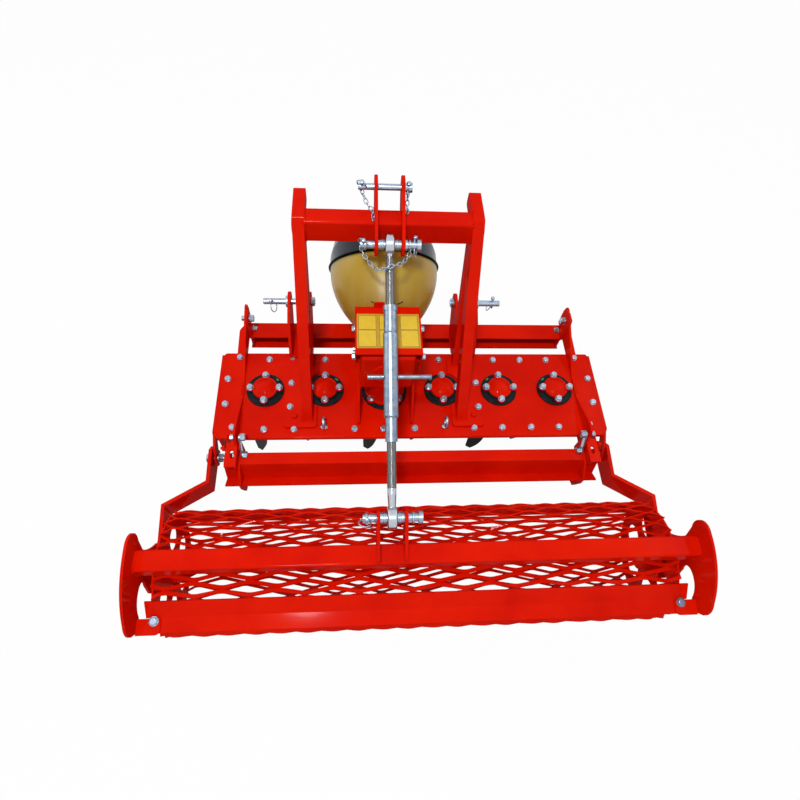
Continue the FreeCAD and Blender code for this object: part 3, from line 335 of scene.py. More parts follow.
def finish(tree, end, geometry, material):
    real = node(tree, "GeometryNodeRealizeInstances", {"Geometry": geometry})
    painted = node(tree, "GeometryNodeSetMaterial", {"Geometry": real.outputs[0], "Material": material})
    tree.links.new(painted.outputs[0], end.inputs[0])


fullTurn = 6.2832
hexCorner = 0.57735  # corner radius of a hexagon, for each unit of its width across flats


def turnedBy(tree, stand, axis, angle):
    # a rotation followed by a turn about the piece's own axis
    turn = node(tree, "FunctionNodeAxisAngleToRotation", {"Axis": axis, "Angle": angle})
    both = {"Rotation": stand.outputs[0], "Rotate By": turn.outputs[0]}
    return node(tree, "FunctionNodeRotateRotation", both, rotation_space="LOCAL").outputs[0]


def fastenerTree():
    # a hexagon head with a low crown on a washer, and the end of its stem, at each point along "facing"
    sizes = ("Across Flats", "Head Height", "Washer Radius", "Washer Thickness", "Stem Radius", "Stem Length")
    tree, put, end = newTree("fasteners", [(size, "Float") for size in sizes] + [("Seed", "Int")])
    flats, high, thick = put["Across Flats"], put["Head Height"], put["Washer Thickness"]

    def cylinder(sides, radius, depth):
        return node(tree, "GeometryNodeMeshCylinder", {"Vertices": sides, "Radius": radius, "Depth": depth})

    def lifted(made, height):
        rise = node(tree, "ShaderNodeCombineXYZ", {"Z": height}).outputs[0]
        return node(tree, "GeometryNodeTransform", {"Geometry": made.outputs["Mesh"], "Translation": rise})

    head = cylinder(6, calc(tree, "MULTIPLY", flats, hexCorner), high)
    crown = node(tree, "GeometryNodeMeshCone", {
        "Vertices": 18, "Radius Top": calc(tree, "MULTIPLY", flats, 0.43),
        "Radius Bottom": calc(tree, "MULTIPLY", flats, 0.5), "Depth": calc(tree, "MULTIPLY", high, 0.12),
    })
    washer = cylinder(20, put["Washer Radius"], thick)
    stem = cylinder(12, put["Stem Radius"], put["Stem Length"])
    seat = calc(tree, "ADD", thick, calc(tree, "MULTIPLY", high, 0.5))
    top = calc(tree, "ADD", thick, high)
    group = node(tree, "GeometryNodeJoinGeometry")
    halfThick = calc(tree, "MULTIPLY", thick, 0.5)
    for made, height in ((head, seat), (crown, top), (washer, halfThick), (stem, top)):
        tree.links.new(lifted(made, height).outputs[0], group.inputs[0])
    facing = node(tree, "GeometryNodeInputNamedAttribute", {"Name": "facing"}, data_type="FLOAT_VECTOR")
    size = node(tree, "GeometryNodeInputNamedAttribute", {"Name": "size"}, data_type="FLOAT")
    stand = node(tree, "FunctionNodeAlignRotationToVector", {"Vector": facing.outputs[0]}, axis="Z")
    chance = {"Min": 0.0, "Max": fullTurn, "Seed": put["Seed"]}
    roll = node(tree, "FunctionNodeRandomValue", chance, data_type="FLOAT")
    turned = turnedBy(tree, stand, (0, 0, 1), roll.outputs["Value"])
    spread = node(tree, "GeometryNodeInstanceOnPoints", {
        "Points": put["Geometry"], "Instance": group.outputs[0], "Rotation": turned, "Scale": size.outputs[0],
    })
    finish(tree, end, spread.outputs[0], put["Material"])
    return tree


def beadTree():
    # a weld bead that swells and shrinks along each line
    tree, put, end = newTree("weld bead", [("Radius", "Float"), ("Ripple", "Float"), ("Seed", "Int")])
    line = node(tree, "GeometryNodeMeshToCurve", {"Mesh": put["Geometry"]})
    steps = {"Curve": line.outputs[0], "Length": calc(tree, "MULTIPLY", put["Ripple"], 0.34)}
    even = node(tree, "GeometryNodeResampleCurve", steps, mode="LENGTH")
    along = node(tree, "GeometryNodeSplineParameter").outputs["Length"]
    wave = calc(tree, "SINE", calc(tree, "MULTIPLY", calc(tree, "DIVIDE", along, put["Ripple"]), fullTurn))
    chance = {"Min": -0.12, "Max": 0.12, "Seed": put["Seed"]}
    wander = node(tree, "FunctionNodeRandomValue", chance, data_type="FLOAT")
    grow = calc(tree, "ADD", scaleAdd(tree, wave, 0.16, 1.0), wander.outputs["Value"])
    ring = node(tree, "GeometryNodeCurvePrimitiveCircle", {"Resolution": 7, "Radius": 1.0}, mode="RADIUS")
    tube = node(tree, "GeometryNodeCurveToMesh", {
        "Curve": even.outputs[0], "Profile Curve": ring.outputs[0],
        "Scale": calc(tree, "MULTIPLY", grow, put["Radius"]), "Fill Caps": True,
    })
    smooth = node(tree, "GeometryNodeSetShadeSmooth", {"Geometry": tube.outputs[0]})
    finish(tree, end, smooth.outputs[0], put["Material"])
    return tree


def chainTree():
    # welded links along each line, every second one turned on edge
    sizes = ("Link Length", "Link Width", "Wire Radius")
    tree, put, end = newTree("link chain", [(size, "Float") for size in sizes])
    pitch = calc(tree, "SUBTRACT", put["Link Length"], calc(tree, "MULTIPLY", put["Wire Radius"], 2.4))
    line = node(tree, "GeometryNodeMeshToCurve", {"Mesh": put["Geometry"]})
    steps = {"Curve": line.outputs[0], "Length": pitch}
    points = node(tree, "GeometryNodeCurveToPoints", steps, mode="LENGTH")
    frameSize = {"Width": put["Link Length"], "Height": put["Link Width"]}
    outline = node(tree, "GeometryNodeCurvePrimitiveQuadrilateral", frameSize)
    rounded = node(tree, "GeometryNodeFilletCurve", {
        "Curve": outline.outputs[0], "Radius": calc(tree, "MULTIPLY", put["Link Width"], 0.48), "Count": 5,
    }, mode="POLY")
    wireSize = {"Resolution": 7, "Radius": put["Wire Radius"]}
    wire = node(tree, "GeometryNodeCurvePrimitiveCircle", wireSize, mode="RADIUS")
    swept = {"Curve": rounded.outputs[0], "Profile Curve": wire.outputs[0]}
    link = node(tree, "GeometryNodeCurveToMesh", swept)
    aim = node(tree, "FunctionNodeAlignRotationToVector", {"Vector": points.outputs["Tangent"]}, axis="X")
    second = calc(tree, "MODULO", node(tree, "GeometryNodeInputIndex").outputs[0], 2.0)
    turned = turnedBy(tree, aim, (1, 0, 0), scaleAdd(tree, second, fullTurn / 4, 0.6))
    spread = node(tree, "GeometryNodeInstanceOnPoints", {
        "Points": points.outputs["Points"], "Instance": link.outputs[0], "Rotation": turned,
    })
    smooth = node(tree, "GeometryNodeSetShadeSmooth", {"Geometry": spread.outputs[0]})
    finish(tree, end, smooth.outputs[0], put["Material"])
    return tree


fasteners, weldBeads, linkChain = fastenerTree(), beadTree(), chainTree()


def pointMesh(name, spots):
    # one point for each bolt: its seat, the way it faces and, if given, its size
    mesh = newMesh(name, [spot[0] for spot in spots], [], [])
    facing = mesh.attributes.new("facing", "FLOAT_VECTOR", "POINT")
    for i, spot in enumerate(spots):
        facing.data[i].vector = spot[1]
    size = mesh.attributes.new("size", "FLOAT", "POINT")
    for i, spot in enumerate(spots):
        size.data[i].value = spot[2] if len(spot) > 2 else 1.0
    return mesh


def lineMesh(name, lines):
    verts, edges = [], []
    for line in lines:
        first = len(verts)
        verts += line
        edges += [(first + i, first + i + 1) for i in range(len(line) - 1)]
    return newMesh(name, verts, edges, [])


bolt = {
    "Across Flats": 0.0178, "Head Height": 0.0070, "Washer Radius": 0.0112, "Washer Thickness": 0.0022,
    "Stem Radius": 0.003, "Stem Length": 0.0006, "Seed": 4,
}


def boltSet(name, spots, body, slotName="zinc", material=None, **changes):
    values = dict(bolt, **changes)
    return runTree(name, pointMesh(name, spots), fasteners, values, body, slotName, material)


def welds(name, lines, body, radius=0.0032, ripple=0.006, seed=3):
    values = {"Radius": radius, "Ripple": ripple, "Seed": seed}
    return runTree(name, lineMesh(name, lines), weldBeads, values, body, "red_paint")


def smoothPath(points, steps=8):
    # a curve through all the points, its slope at each one taken from the two beside it
    path = []
    ends = [points[0]] + list(points) + [points[-1]]
    for i in range(1, len(ends) - 2):
        a, b, c, d = (Vector(p) for p in ends[i - 1:i + 3])
        square, cube = 2 * a - 5 * b + 4 * c - d, 3 * b - a - 3 * c + d
        for t in (k / steps for k in range(steps)):
            path.append(0.5 * ((2 * b) + (c - a) * t + square * t * t + cube * t ** 3))
    path.append(Vector(points[-1]))
    return path


def tubeMesh(path, radius, sides=10, closed=False):
    count = len(path)
    verts, faces = [], []
    normal = None
    for i, point in enumerate(path):
        ahead = path[(i + 1) % count] if closed or i < count - 1 else point
        behind = path[i - 1] if closed or i > 0 else point
        tangent = (ahead - behind).normalized()
        if normal is None:
            normal = tangent.orthogonal().normalized()
        normal = (normal - tangent * normal.dot(tangent)).normalized()
        side = tangent.cross(normal)
        for k in range(sides):
            a = 2 * pi * k / sides
            verts.append(point + normal * cos(a) * radius + side * sin(a) * radius)
    for i in range(count if closed else count - 1):
        here, there = i * sides, (i + 1) % count * sides
        for k, m in ((k, (k + 1) % sides) for k in range(sides)):
            faces.append((here + k, here + m, there + m, there + k))
    if not closed:
        faces.append(tuple(range(sides))[::-1])
        faces.append(tuple(range((count - 1) * sides, count * sides)))
    return newMesh("tube", verts, [], faces, smooth=True)


def joined(name, meshes, smooth=True):
    verts, faces = [], []
    for mesh in meshes:
        first = len(verts)
        verts += [tuple(v.co) for v in mesh.vertices]
        faces += [tuple(first + i for i in face.vertices) for face in mesh.polygons]
        bpy.data.meshes.remove(mesh)
    return newMesh(name, verts, [], faces, smooth)


def turnedMesh(outline, at, axis, segments=28):
    # outline holds (radius, height) from one end of the axis to the other, and both ends are closed
    axis = Vector(axis).normalized()
    side = axis.orthogonal().normalized()
    other = axis.cross(side)
    verts, faces = [], []
    for radius, height in outline:
        for k in range(segments):
            a = 2 * pi * k / segments
            verts.append(Vector(at) + axis * height + (side * cos(a) + other * sin(a)) * radius)
    for first in range(0, (len(outline) - 1) * segments, segments):
        for k in range(segments):
            m = (k + 1) % segments
            faces.append((first + k, first + m, first + segments + m, first + segments + k))
    faces.append(tuple(range(segments))[::-1])
    faces.append(tuple(range((len(outline) - 1) * segments, len(outline) * segments)))
    return newMesh("turned", verts, [], faces)


def plateMesh(middle, across, up, wide, tall, thick, corner, steps=4):
    # a plate with rounded corners that lies on its middle and is thick towards across x up
    across, up = Vector(across).normalized(), Vector(up).normalized()
    out = across.cross(up)
    ring = []
    for sx, sy, begin in ((1, 1, 0), (-1, 1, 90), (-1, -1, 180), (1, -1, 270)):
        for k in range(steps + 1):
            a = radians(begin + 90 * k / steps)
            x, y = sx * (wide / 2 - corner), sy * (tall / 2 - corner)
            ring.append((x + corner * cos(a), y + corner * sin(a)))
    verts = []
    for lift in (0, thick):
        verts += [Vector(middle) + across * x + up * y + out * lift for x, y in ring]
    n = len(ring)
    faces = [tuple(range(n))[::-1], tuple(range(n, 2 * n))]
    faces += [(i, (i + 1) % n, n + (i + 1) % n, n + i) for i in range(n)]
    return newMesh("plate", verts, [], faces)


# Set-out
rotorY = boxMiddle("rotor_1_hub")[1]
hitchX = boxMiddle("pto_guard_collar")[0]
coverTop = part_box("trough_cover")[1][2]
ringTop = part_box("bearing_rings")[1][2]
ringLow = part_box("bearing_rings")[0][2]
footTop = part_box("headstock_feet")[1][2]
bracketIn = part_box("side_bracket_right")[0][0]
bracketThick = 0.008
rotorX = [boxMiddle("rotor_%d_hub" % (i + 1))[0] for i in range(6)]
drivenX = min(rotorX, key=lambda x: abs(x - hitchX))  # the rotor under the gearbox
up = (0, 0, 1)
leftRight = (-1, 1)
print("set-out done: rotor line", round(rotorY, 4), "hitch", round(hitchX, 4))


def roundSpots(x, circle, start, z):
    # four places on a circle about the rotor at x
    turns = [radians(start + 90 * k) for k in range(4)]
    return [(x + circle * cos(a), rotorY + circle * sin(a), z) for a in turns]


# Bolts on the gear trough and its brackets
coverBolts = {
    "rear": (-0.520, -0.418, -0.211, -0.112, -0.002, 0.208, 0.309, 0.413, 0.514),
    "front": (-0.520, -0.436, -0.318, 0.103, 0.181, 0.310, 0.413, 0.515),
    "rearLine": -0.153, "frontLine": 0.130,
    "ends": ((0.624, 0.134), (0.658, 0.043), (0.657, -0.058), (0.624, -0.148)),
}
spots = [((x, rotorY + coverBolts["rearLine"], coverTop), up) for x in coverBolts["rear"]]
spots += [((x, rotorY + coverBolts["frontLine"], coverTop), up) for x in coverBolts["front"]]
flangeTop = coverTop + bracketThick
spots += [((side * x, rotorY + y, flangeTop), up) for side in leftRight for x, y in coverBolts["ends"]]
boltSet("cover_bolts", spots, "harrow")

footBolts = {
    "zinc": ((-0.434, 0.024), (-0.434, -0.071), (0.231, 0.024), (0.230, -0.075)),
    "painted": ((-0.418, -0.108), (0.210, -0.107)),
}
boltSet("foot_bolts", [((x, rotorY + y, footTop), up) for x, y in footBolts["zinc"]], "harrow")
painted = [((x, rotorY + y, footTop), up) for x, y in footBolts["painted"]]
boltSet("painted_foot_bolts", painted, "harrow", "red_paint")

capBolts = {"circle": 0.050, "flange": 0.006, "washer": 0.0118, "flats": 0.0185, "high": 0.0085}
capTop = ringTop + capBolts["flange"]
capX = [x for x in rotorX if x != drivenX]
spots = [(spot, up) for x in capX for spot in roundSpots(x, capBolts["circle"], 0, capTop)]
boltSet("cap_bolts", spots, "harrow", **{
    "Across Flats": capBolts["flats"], "Washer Radius": capBolts["washer"], "Head Height": capBolts["high"],
})

neckBolts = {"circle": 0.068, "flange": 0.012, "washer": 0.0118}
neckTop = ringTop + neckBolts["flange"]
spots = [(spot, up) for spot in roundSpots(hitchX, neckBolts["circle"], 45, neckTop)]
boltSet("neck_bolts", spots, "harrow", **{"Washer Radius": neckBolts["washer"]})

# Bolts through the side brackets and bar hangers: heads inside, nuts on the outer face
hangers = {
    "inner": 0.592, "outer": 0.608, "strapWide": 0.017, "strapThick": 0.005, "strapCorner": 0.0084,
    "front": ((0.264, 0.406), (0.273, 0.329)), "rear": ((-0.200, 0.375), (-0.235, 0.310)),
    "head": {"Across Flats": 0.022, "Washer Radius": 0.0140, "Head Height": 0.013},
    "nut": {"Head Height": 0.009, "Stem Radius": 0.006, "Stem Length": 0.004},
}
heads, nuts, straps = [], [], []
for side in leftRight:
    for y, z in hangers["front"] + hangers["rear"]:
        strap = hangers["strapThick"] if y < 0 else 0
        heads.append(((side * (hangers["inner"] - strap), rotorY + y, z), (-side, 0, 0)))
        nuts.append(((side * hangers["outer"], rotorY + y, z), (side, 0, 0)))
    (y0, z0), (y1, z1) = hangers["rear"]
    along = Vector((0, y1 - y0, z1 - z0))
    middle = (side * hangers["inner"], rotorY + (y0 + y1) / 2, (z0 + z1) / 2)
    across = along.cross(Vector((side, 0, 0)))
    wide = hangers["strapWide"]
    straps.append(plateMesh(middle, along, across, along.length + wide, wide, hangers["strapThick"],
                            hangers["strapCorner"], 6))
boltSet("hanger_bolts", heads, "harrow", **hangers["head"])
boltSet("hanger_nuts", nuts, "harrow", **hangers["nut"])
addPiece("hanger_straps", joined("hanger_straps", straps, smooth=False), "harrow", "zinc")

# the hood's upper sheet, above which a tab stands, and its bolts' y, z and size
hood = {"top": 0.661, "bolts": ((0.043, 0.647, 1.0), (-0.050, 0.632, 1.0), (0.000, 0.598, 0.7))}
hoodLow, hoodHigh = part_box("gearbox_hood")
spots = []
for y, z, size in hood["bolts"]:
    spots.append(((hoodHigh[0], rotorY + y, z), (1, 0, 0), size))
    spots.append(((hoodLow[0], rotorY + y, z), (-1, 0, 0), size))
boltSet("hood_bolts", spots, "harrow")

scraperBolts = {
    "at": (0.774, -0.5925, 0.3565), "facing": (0, -0.187, 0.982),
    "size": {"Across Flats": 0.021, "Washer Radius": 0.0135},
}
x, y, z = scraperBolts["at"]
facing = tuple(Vector(scraperBolts["facing"]).normalized())
spots = [((side * x, y, z), facing) for side in leftRight]
boltSet("scraper_bolts", spots, "roller_frame", material=finishes["dull_zinc"], **scraperBolts["size"])

# The scraper's upper leaf runs on past its fold at both ends
leaf = {
    "start": 0.7795, "fold": 0.7985, "edge": 0.8045, "thick": 0.006,
    "line": ((-0.5805, 0.3460), (-0.5395, 0.3680)),
}
(y0, z0), (y1, z1) = leaf["line"]
under = Vector((0, z1 - z0, y0 - y1)).normalized() * leaf["thick"]
corners = ((leaf["start"], y0, z0), (leaf["fold"], y0, z0), (leaf["edge"], y1, z1), (leaf["start"], y1, z1))
leafFaces = [(0, 1, 2, 3), (7, 6, 5, 4)] + [(k, k + 4, (k + 1) % 4 + 4, (k + 1) % 4) for k in range(4)]
ends = []
for side in leftRight:
    flat = [Vector((side * x, y, z)) for x, y, z in corners]
    ends.append(newMesh("leaf", flat + [v - under for v in flat], [], leafFaces))
    shape = bmesh.new()
    shape.from_mesh(ends[-1])
    bmesh.ops.recalc_face_normals(shape, faces=shape.faces)
    shape.to_mesh(ends[-1])
    shape.free()
leafEnds = joined("scraper_leaf_ends", ends, smooth=False)
addPiece("scraper_leaf_ends", leafEnds, "roller_frame", "red_paint")

tailBolts = {"at": (0.640, -0.222, 0.3385), "size": {"Stem Radius": 0.005, "Stem Length": 0.012}}
x, y, z = tailBolts["at"]
spots = [((side * x, rotorY + y, z), (side, 0, 0)) for side in leftRight]
boltSet("tail_bolts", spots, "harrow", "red_paint", **tailBolts["size"])
print("bolts made")

# Welds
weldSize = {"beam": 0.0036, "harrow": 0.0026}
tubeLow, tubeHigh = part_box("cross_tube")
lines = []
for x in (tubeLow[0], tubeHigh[0]):
    s = 0.0015 if x < hitchX else -0.0015
    lines.append([(x + s, tubeLow[1] + 0.004, tubeHigh[2]), (x + s, tubeHigh[1] - 0.004, tubeHigh[2])])
    lines.append([(x + s, tubeLow[1], tubeLow[2] + 0.004), (x + s, tubeLow[1], tubeHigh[2] - 0.004)])
welds("cross_tube_welds", lines, "harrow")

lines = []
lugLow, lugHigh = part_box("adjuster_lugs")
lugThick = 0.010
beamLow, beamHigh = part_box("roller_beam")
for x in (lugLow[0], lugLow[0] + lugThick, lugHigh[0] - lugThick, lugHigh[0]):
    z = beamHigh[2] + 0.001
    lines.append([(x, beamLow[1] + 0.006, z), (x, beamHigh[1] - 0.004, z)])
for x in (beamLow[0] + 0.001, beamHigh[0] - 0.001):
    lines.append([(x, beamLow[1] + 0.006, beamHigh[2]), (x, beamHigh[1] - 0.006, beamHigh[2])])
    lines.append([(x, beamLow[1], beamLow[2] + 0.006), (x, beamLow[1], beamHigh[2] - 0.006)])
welds("beam_welds", lines, "roller_frame", radius=weldSize["beam"])

# runs along Y, measured from the rotor line
weldRuns = {
    "leg": (-0.127, -0.067), "legRear": -0.1285, "rib": (-0.132, -0.022), "ribThick": 0.008,
    "linkBracket": (0.162, 0.258), "sideBracket": ((-0.146, -0.104), (-0.020, 0.026), (0.098, 0.138)),
}


def runAlong(x, run, z):
    return [(x, rotorY + run[0], z), (x, rotorY + run[1], z)]


lines = []
for leg in ("headstock_leg_left", "headstock_leg_right"):
    low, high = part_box(leg)
    lines += [runAlong(x, weldRuns["leg"], footTop) for x in (low[0], high[0])]
    y = rotorY + weldRuns["legRear"]
    lines.append([(low[0] + 0.001, y, footTop), (high[0] - 0.001, y, footTop)])
ribLow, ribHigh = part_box("gearbox_ribs")
thick = weldRuns["ribThick"]
for x in (ribLow[0], ribLow[0] + thick, ribHigh[0] - thick, ribHigh[0]):
    lines.append(runAlong(x, weldRuns["rib"], coverTop))
for bracket in ("link_bracket_left", "link_bracket_right"):
    low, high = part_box(bracket)
    lines += [runAlong(x, weldRuns["linkBracket"], coverTop) for x in (low[0], high[0])]
for side in leftRight:
    for run in weldRuns["sideBracket"]:
        lines.append(runAlong(side * bracketIn, run, coverTop))
        lines.append(runAlong(side * (bracketIn + bracketThick), run, coverTop + bracketThick))
welds("harrow_welds", lines, "harrow", radius=weldSize["harrow"], seed=11)
print("welds made")

# Pins: rings, clips and chains
lynch = {"ring": 0.016, "wire": 0.0021, "shank": 0.0045, "drop": 0.022}


def lynchPin(name, at, body, lean, hang=None, **changes):
    # a headed stick through the pin; its ring stands on the head, or hangs the way that is given
    size = dict(lynch, **changes)
    at, ringRadius, shank, drop = Vector(at), size["ring"], size["shank"], size["drop"]
    stick = Vector((sin(lean) * 0.2, -sin(lean), cos(lean))).normalized()
    outline = ((0.0015, -drop), (shank, -drop + 0.003), (shank, drop), (shank * 1.6, drop),
               (shank * 1.6, drop + 0.004), (shank * 1.1, drop + 0.006))
    head = turnedMesh(outline, at, stick, 16)
    way = Vector(hang).normalized() if hang else stick
    middle = at + way * (drop - ringRadius + 0.004 if hang is None else ringRadius + 0.006)
    side = way.cross(Vector((0.35, -0.9, 0.1))).cross(way).normalized() * -1
    side = (side * 0.8 + way.cross(side) * 0.6).normalized()
    turns = (2 * pi * k / 28 for k in range(28))
    loop = [middle + way * ringRadius * cos(t) + side * ringRadius * sin(t) for t in turns]
    ring = tubeMesh(loop, size["wire"], 8, closed=True)
    return addPiece(name, joined(name, [head, ring]), body, "zinc")


def pinSpot(pin, inset, lift=0.0):
    # a place on a pin's axis, inset from its left end, or from its right end if inset is negative
    low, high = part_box(pin)
    _, y, z = boxMiddle(pin)
    return (low[0] + inset if inset > 0 else high[0] + inset, y, z + lift)


small, wide = {"ring": 0.012, "drop": 0.016}, {"ring": 0.0185, "wire": 0.0018}
topPin, bottomPin = "adjuster_top_pin", "adjuster_low_pin"
lynchPin("adjuster_pin_clip_left", pinSpot(topPin, 0.009), "harrow", 0.3)
lynchPin("adjuster_pin_clip_right", pinSpot(topPin, -0.018, 0.004), "harrow", -0.2, (0.1, -0.3, -1))
lynchPin("lower_pin_clip", pinSpot(bottomPin, 0.010), "roller_frame", 0.5, (-0.2, -0.8, 0.6), ring=0.017)
lynchPin("top_link_clip", pinSpot("top_link_pin", 0.010), "harrow", 0.35)
lynchPin("top_link_clip_right", pinSpot("top_link_pin", -0.012), "harrow", 0.2, (0.1, -0.2, -1), **small)
lynchPin("link_pin_clip", pinSpot("link_pin_left", 0.026), "harrow", 0.6, (0.35, -0.3, -1), **wide)
lynchPin("link_pin_clip_right", pinSpot("link_pin_right", -0.026), "harrow", -0.25, (-0.3, 0.3, -1), **wide)

pinCollar = {
    "radius": 0.0172, "wide": 0.0065, "edge": 0.001, "bore": 0.012, "at": (-0.073, -0.022, 0.022, 0.060),
}
r, w, c = pinCollar["radius"], pinCollar["wide"] / 2, pinCollar["edge"]
collar = ((pinCollar["bore"], -w), (r - c, -w), (r, -w + c), (r, w - c), (r - c, w), (pinCollar["bore"], w))
pinRows = (("top_pin_collars", topPin, "harrow"), ("low_pin_collars", bottomPin, "roller_frame"))
for name, pin, body in pinRows:
    _, y, z = boxMiddle(pin)
    rings = [turnedMesh(collar, (hitchX + x, y, z), (1, 0, 0), 32) for x in pinCollar["at"]]
    addPiece(name, joined(name, rings, smooth=False), body, "zinc")

snapWire = {"radius": 0.0013, "way": (
    (-0.0866, -0.530, 0.524), (-0.0780, -0.542, 0.534), (-0.0716, -0.548, 0.5427), (-0.0640, -0.549, 0.515),
    (-0.0579, -0.547, 0.500), (-0.0525, -0.543, 0.506), (-0.0490, -0.540, 0.5232), (-0.0440, -0.532, 0.540),
    (-0.0420, -0.524, 0.5345),
)}
wirePath = smoothPath([(hitchX + x, rotorY + y, z) for x, y, z in snapWire["way"]])
snap = joined("snap_wire", [tubeMesh(wirePath, snapWire["radius"], 8)])
addPiece("snap_wire", snap, "roller_frame", "zinc")

chain = {"Link Length": 0.0175, "Link Width": 0.0102, "Wire Radius": 0.0016}
hangs = {
    "adjuster_pin_chain": (
        (-0.084, 0.210, 0.825), (-0.0815, 0.205, 0.8179), (-0.0688, 0.185, 0.8086), (-0.0475, 0.152, 0.8065),
        (-0.0302, 0.133, 0.8165), (-0.009, 0.130, 0.8290), (0.0054, 0.134, 0.8330), (0.027, 0.141, 0.8325),
        (0.0465, 0.165, 0.8245), (0.0627, 0.196, 0.8288), (0.0625, 0.206, 0.8420),
    ),
    "top_link_chain": (
        (-0.081, 0.348, 0.917), (-0.073, 0.336, 0.899), (-0.061, 0.312, 0.891), (-0.050, 0.298, 0.8905),
        (-0.0485, 0.262, 0.8895),
    ),
    "top_link_chain_right": (
        (0.0560, 0.350, 0.916), (0.0552, 0.338, 0.900), (0.0545, 0.318, 0.893), (0.0530, 0.296, 0.8900),
    ),
}
for name, points in hangs.items():
    way = smoothPath([(hitchX + x, rotorY + y, z) for x, y, z in points])
    runTree(name, lineMesh(name, [way]), linkChain, chain, "harrow", "zinc")
print("pins, clips and chains made")

# Drum mesh: zigzag strips of raised expanded sheet; one pair is made and the tree repeats it round the drum
drumSheet = {
    "radius": 0.1855, "half": 0.795, "rows": 48, "pitches": 10, "strand": 0.0120, "thick": 0.0044,
    "lean": -38.0, "knot": 0.013, "turn": -1.75, "soft": 0.0035,
}


def zigzag(sheet, row):
    # (x, share) along one strip: share is 1 at a knot with the next strip, -1 at one with the strip before
    half = sheet["half"] / sheet["pitches"]
    knot, soft, run = sheet["knot"] / 2, sheet["soft"], half - sheet["knot"]
    turnings = ((knot - soft, 0.0), (knot + soft, soft / run), (half - knot - soft, 1 - soft / run),
                (half - knot + soft, 1.0))
    stations = []
    for j in range(-1, 2 * sheet["pitches"] + 1):
        x = -sheet["half"] + half / 2 + j * half
        here = 1 if (j + row) % 2 == 0 else -1
        stations += [(x + t, here * (1 - 2 * part)) for t, part in turnings]
    stations = [(max(-sheet["half"], min(sheet["half"], x)), share) for x, share in stations]
    within = [abs(x) < sheet["half"] for x, share in stations]
    # what lies past the drum's ends goes, apart from the station that each end is cut at
    kept = [i for i in range(len(stations)) if within[i] or
            0 < i < len(stations) - 1 and (within[i - 1] or within[i + 1])]
    return [stations[i] for i in kept]


def stripMesh(sheet):
    step = 2 * pi / sheet["rows"]
    lean = radians(sheet["lean"])
    reach, rise = sheet["strand"] / 2 * cos(lean), sheet["strand"] / 2 * sin(lean)
    deep = (sheet["thick"] / 2 * sin(lean), sheet["thick"] / 2 * cos(lean))
    verts, faces = [], []
    for row in (0, 1):
        first = len(verts)
        stations = zigzag(sheet, row)
        for x, share in stations:
            u = share * (sheet["radius"] * step / 2 - reach)
            h = -share * rise
            a = row * step + radians(sheet["turn"]) + u / sheet["radius"]
            out, on = Vector((0, sin(a), cos(a))), Vector((0, cos(a), -sin(a)))
            middle = Vector((x, 0, 0)) + out * (sheet["radius"] + h)
            for su, sn in ((-1, 1), (1, 1), (1, -1), (-1, -1)):
                verts.append(middle + on * (su * reach - sn * deep[0]) + out * (su * rise + sn * deep[1]))
        last = first + 4 * (len(stations) - 1)
        for at in range(first, last, 4):
            faces += [(at + k, at + (k + 1) % 4, at + 4 + (k + 1) % 4, at + 4 + k) for k in range(4)]
        faces.append((first, first + 3, first + 2, first + 1))
        faces.append((last, last + 1, last + 2, last + 3))
    return newMesh("strips", verts, [], faces)


def roundTree():
    # copies of a strip pair turned round the drum's axle
    tree, put, end = newTree("round an axle", [("Count", "Int"), ("Axle", "Vector")])
    points = node(tree, "GeometryNodeMeshLine", {"Count": put["Count"], "Offset": (0, 0, 0)})
    number = node(tree, "GeometryNodeInputIndex").outputs[0]
    angle = calc(tree, "DIVIDE", calc(tree, "MULTIPLY", number, 2 * pi), put["Count"])
    turn = node(tree, "FunctionNodeAxisAngleToRotation", {"Axis": (-1, 0, 0), "Angle": angle})
    spread = node(tree, "GeometryNodeInstanceOnPoints", {
        "Points": points.outputs[0], "Instance": put["Geometry"], "Rotation": turn.outputs[0],
    })
    placed = {"Geometry": spread.outputs[0], "Translation": put["Axle"]}
    moved = node(tree, "GeometryNodeTransform", placed)
    finish(tree, end, moved.outputs[0], put["Material"])
    return tree


drumAxle = boxMiddle("drum_discs")
drumPlace = {"Count": drumSheet["rows"] // 2, "Axle": (0.0, drumAxle[1], drumAxle[2])}
strips = stripMesh(drumSheet)
drumMesh = runTree("expanded_drum_mesh", strips, roundTree(), drumPlace, "roller", "red_paint")
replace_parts(drumMesh, "drum_mesh")
print("drum mesh made:", len(drumMesh.data.polygons), "faces")

# Bearing rings: a low casting with a post under each cap bolt, and a larger one round the gearbox's neck
ringCast = {"high": 0.0075, "edge": 0.0022, "bore": 0.040, "post": 0.0125, "postFoot": 0.002}
ringRound = {"radius": 0.0655, "boss": 0.047, "circle": capBolts["circle"], "start": 0}
ringDriven = {"radius": 0.081, "boss": 0.063, "circle": neckBolts["circle"], "start": 45}
castings = []
for x in rotorX:
    size = ringDriven if x == drivenX else ringRound
    rim, boss, high, edge = size["radius"], size["boss"], ringCast["high"], ringCast["edge"]
    top = ringTop - ringLow
    outline = ((rim, 0.0), (rim, high - edge), (rim - edge, high), (boss + 0.002, high), (boss, high + 0.002),
               (boss, top), (ringCast["bore"], top))
    castings.append(turnedMesh(outline, (x, rotorY, ringLow), (0, 0, 1), 44))
    post = ((ringCast["post"] + ringCast["postFoot"], 0.0), (ringCast["post"], high), (ringCast["post"], top))
    for at in roundSpots(x, size["circle"], size["start"], ringLow):
        castings.append(turnedMesh(post, at, (0, 0, 1), 20))
ringMesh = joined("ring_castings", castings, smooth=False)
ringPiece = addPiece("ring_castings", ringMesh, "harrow", "black_cast")
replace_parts(ringPiece, "bearing_rings")

